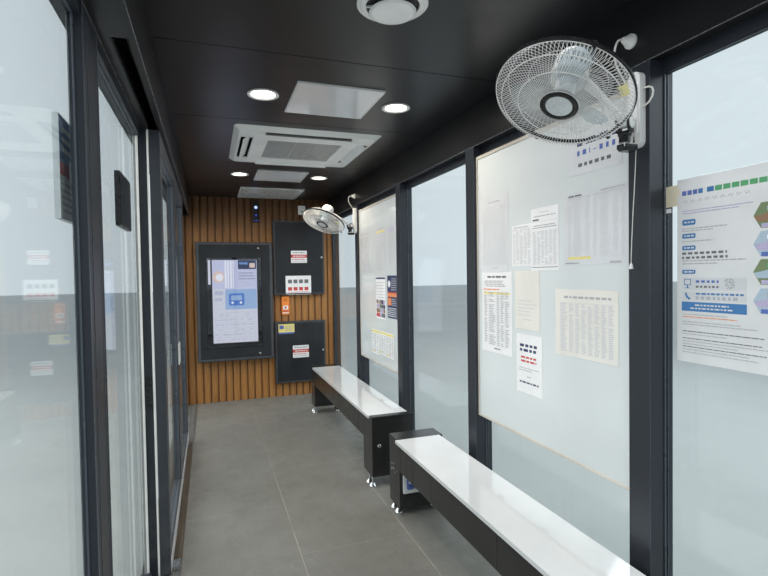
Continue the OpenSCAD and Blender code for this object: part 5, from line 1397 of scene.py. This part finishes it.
g.box(3.630, 3.660, -0.935, 0.935, 2.7500, 2.7520)
for x in (-2.4, -1.2, 0.0, 1.2, 2.4):
    g.box(x - 0.018, x + 0.018, -0.935, 0.935, 2.7500, 2.7535)
    for y in (-0.8, -0.4, 0.0, 0.4, 0.8):
        g.lathe([(0.0, 0.0), (0.006, 0.0), (0.0045, 0.0030), (0.0, 0.0036)], (x, y, 2.7535), (0, 0, 1), 12)
g.make("roof_trims", ["roof"], bevel=0.0005)
g = B()
for y0, y1 in ((-0.930, -0.318), (-0.312, 0.312), (0.318, 0.930)):
    g.box(-3.6430, -3.6400, y0, y1, 0.106, 1.172)
    g.box(-3.6430, -3.6400, y0, y1, 1.178, 2.244)
    for z in (0.14, 0.64, 1.14, 1.21, 1.72, 2.21):
        for y in (y0 + 0.03, y1 - 0.03):
            g.lathe([(0.0, 0.0), (0.0055, 0.0), (0.0040, 0.0024), (0.0, 0.0030)], (-3.6430, y, z), (-1, 0, 0), 12)
g.make("end_cladding", ["roof"], bevel=0.0004)
g = B()
for x in (-3.430, -2.247, -1.078, 0.058, 1.233, 2.410, 3.560):
    for yy, sg2 in ((-0.9648, -1), (0.9648, 1)):
        for z in (2.30, 2.68):
            for dx in (-0.010, 0.010):
                g.lathe([(0.0, 0.0), (0.0038, 0.0), (0.0028, 0.0018), (0.0, 0.0022)], (x + dx, yy + sg2 * 0.0016, z), (0, sg2, 0), 12)
g.make("fascia_screws", ["steel"])
# outer corner caps, base plates of the posts
g = B()
for x0, x1, y in ((-3.532, -3.430, -0.866), (-2.145, -2.045, -0.866), (-0.115, -0.015, -0.866), (0.940, 1.124, -0.887), (2.365, 2.455, -0.887), (3.540, 3.630, -0.887)):
    lo = 0.112 if -2.2 < x0 < 0 else 0.100
    g.box(x0 + 0.001, x1 - 0.001, y, y + 0.004, lo, lo + 0.004)
g.make("post_shoes", ["steel_dull"], bevel=0.0006)
# painted highlight: pale strips along the edges of the rear posts, and a band at each post's foot
g = B()
for c in (-2.247, -1.078, 0.058, 1.233, 2.410):
    g.box(c - 0.045, c - 0.0438, 0.7990, 0.8002, 0.104, 2.250)
    g.box(c + 0.0438, c + 0.045, 0.7990, 0.8002, 0.104, 2.250)
    g.box(c - 0.046, c + 0.046, 0.7975, 0.8000, 0.100, 0.108)
g.make("rear_post_edge_highlights_and_feet", ["bead"])

bead = B()
bead.lathe([(0.0, 0.0), (0.0055, 0.0), (0.007, 0.0015), (0.0068, 0.006), (0.0052, 0.014), (0.004, 0.0185), (0.0022, 0.020), (0.0, 0.020)],
           (1.220, 0.777, 1.552), (0, 0, 1), 24)
bead_ob = bead.make("pull_bead", "white", replaces=("cord_bead",))

# ------------------------------------------------------------------ stage and light
def mat_stage():
    t = NT("pale_floor")
    c = t.mix(t.ramp(t.noise(0.4, 3), 0.35, 0.65), (0.41, 0.42, 0.42), (0.44, 0.45, 0.45))
    return t.done(t.pbr(c, t.ramp(t.noise(3, 2), 0.3, 0.7, 0.7, 0.8)))


g = B()
g.quad((-60, -60, -0.001), (60, -60, -0.001), (60, 60, -0.001), (-60, 60, -0.001))
me = bpy.data.meshes.new("stage_floor")
me.from_pydata(g.v, [], g.f)
me.materials.append(mat_stage())
stage = bpy.data.objects.new("stage_floor", me)
bpy.context.collection.objects.link(stage)

world = bpy.data.worlds.new("studio")
bpy.context.scene.world = world
world.use_nodes = True
wt = world.node_tree
wt.nodes.clear()
wo = wt.nodes.new("ShaderNodeOutputWorld")
bg = wt.nodes.new("ShaderNodeBackground")
bg.inputs["Color"].default_value = (0.80, 0.86, 0.92, 1)
bg.inputs["Strength"].default_value = 1.0
wt.links.new(bg.outputs[0], wo.inputs[0])


def area(name, loc, aim, sx, sy, power, color=(1, 1, 1), glossy=True):
    l = bpy.data.lights.new(name, "AREA")
    l.shape = "RECTANGLE"
    l.size, l.size_y, l.energy, l.color = sx, sy, power, color
    o = bpy.data.objects.new(name, l)
    o.location = loc
    o.rotation_euler = (Vector(aim) - Vector(loc)).to_track_quat("-Z", "Y").to_euler()
    bpy.context.collection.objects.link(o)
    o.visible_camera = False
    o.visible_glossy = glossy
    return o


area("key_street", (-0.5, -5.5, 4.2), (0, 0, 0.9), 9, 3, 350, (1.0, 0.98, 0.95))
area("key_rear", (0.5, 5.5, 4.2), (0, 0, 0.9), 9, 3, 250, (0.95, 0.98, 1.0))
area("fill_in", (0.2, 0.0, 2.40), (0.2, 0.0, 0), 6.4, 1.2, 45, (1, 1, 1), False)
area("fill_up", (0.0, 0.0, 0.75), (0.0, 0.0, 2.4), 6.2, 1.0, 10, (1, 0.99, 0.98), False)
area("fill_end", (3.0, 0.0, 1.5), (-3.5, -0.3, 1.3), 1.2, 1.6, 5, (0.94, 0.98, 1.0), False)
for lx, ly in ((-0.044, -0.32), (-0.044, 0.40), (-2.107, -0.32), (-2.107, 0.40)):
    area("lamp_%d_%d" % (lx * 10, ly * 10), (lx, ly, 2.455), (lx, ly, 0), 0.11, 0.11, 5, (1.0, 0.86, 0.66), False)

bpy.context.scene.view_settings.view_transform = "Standard"
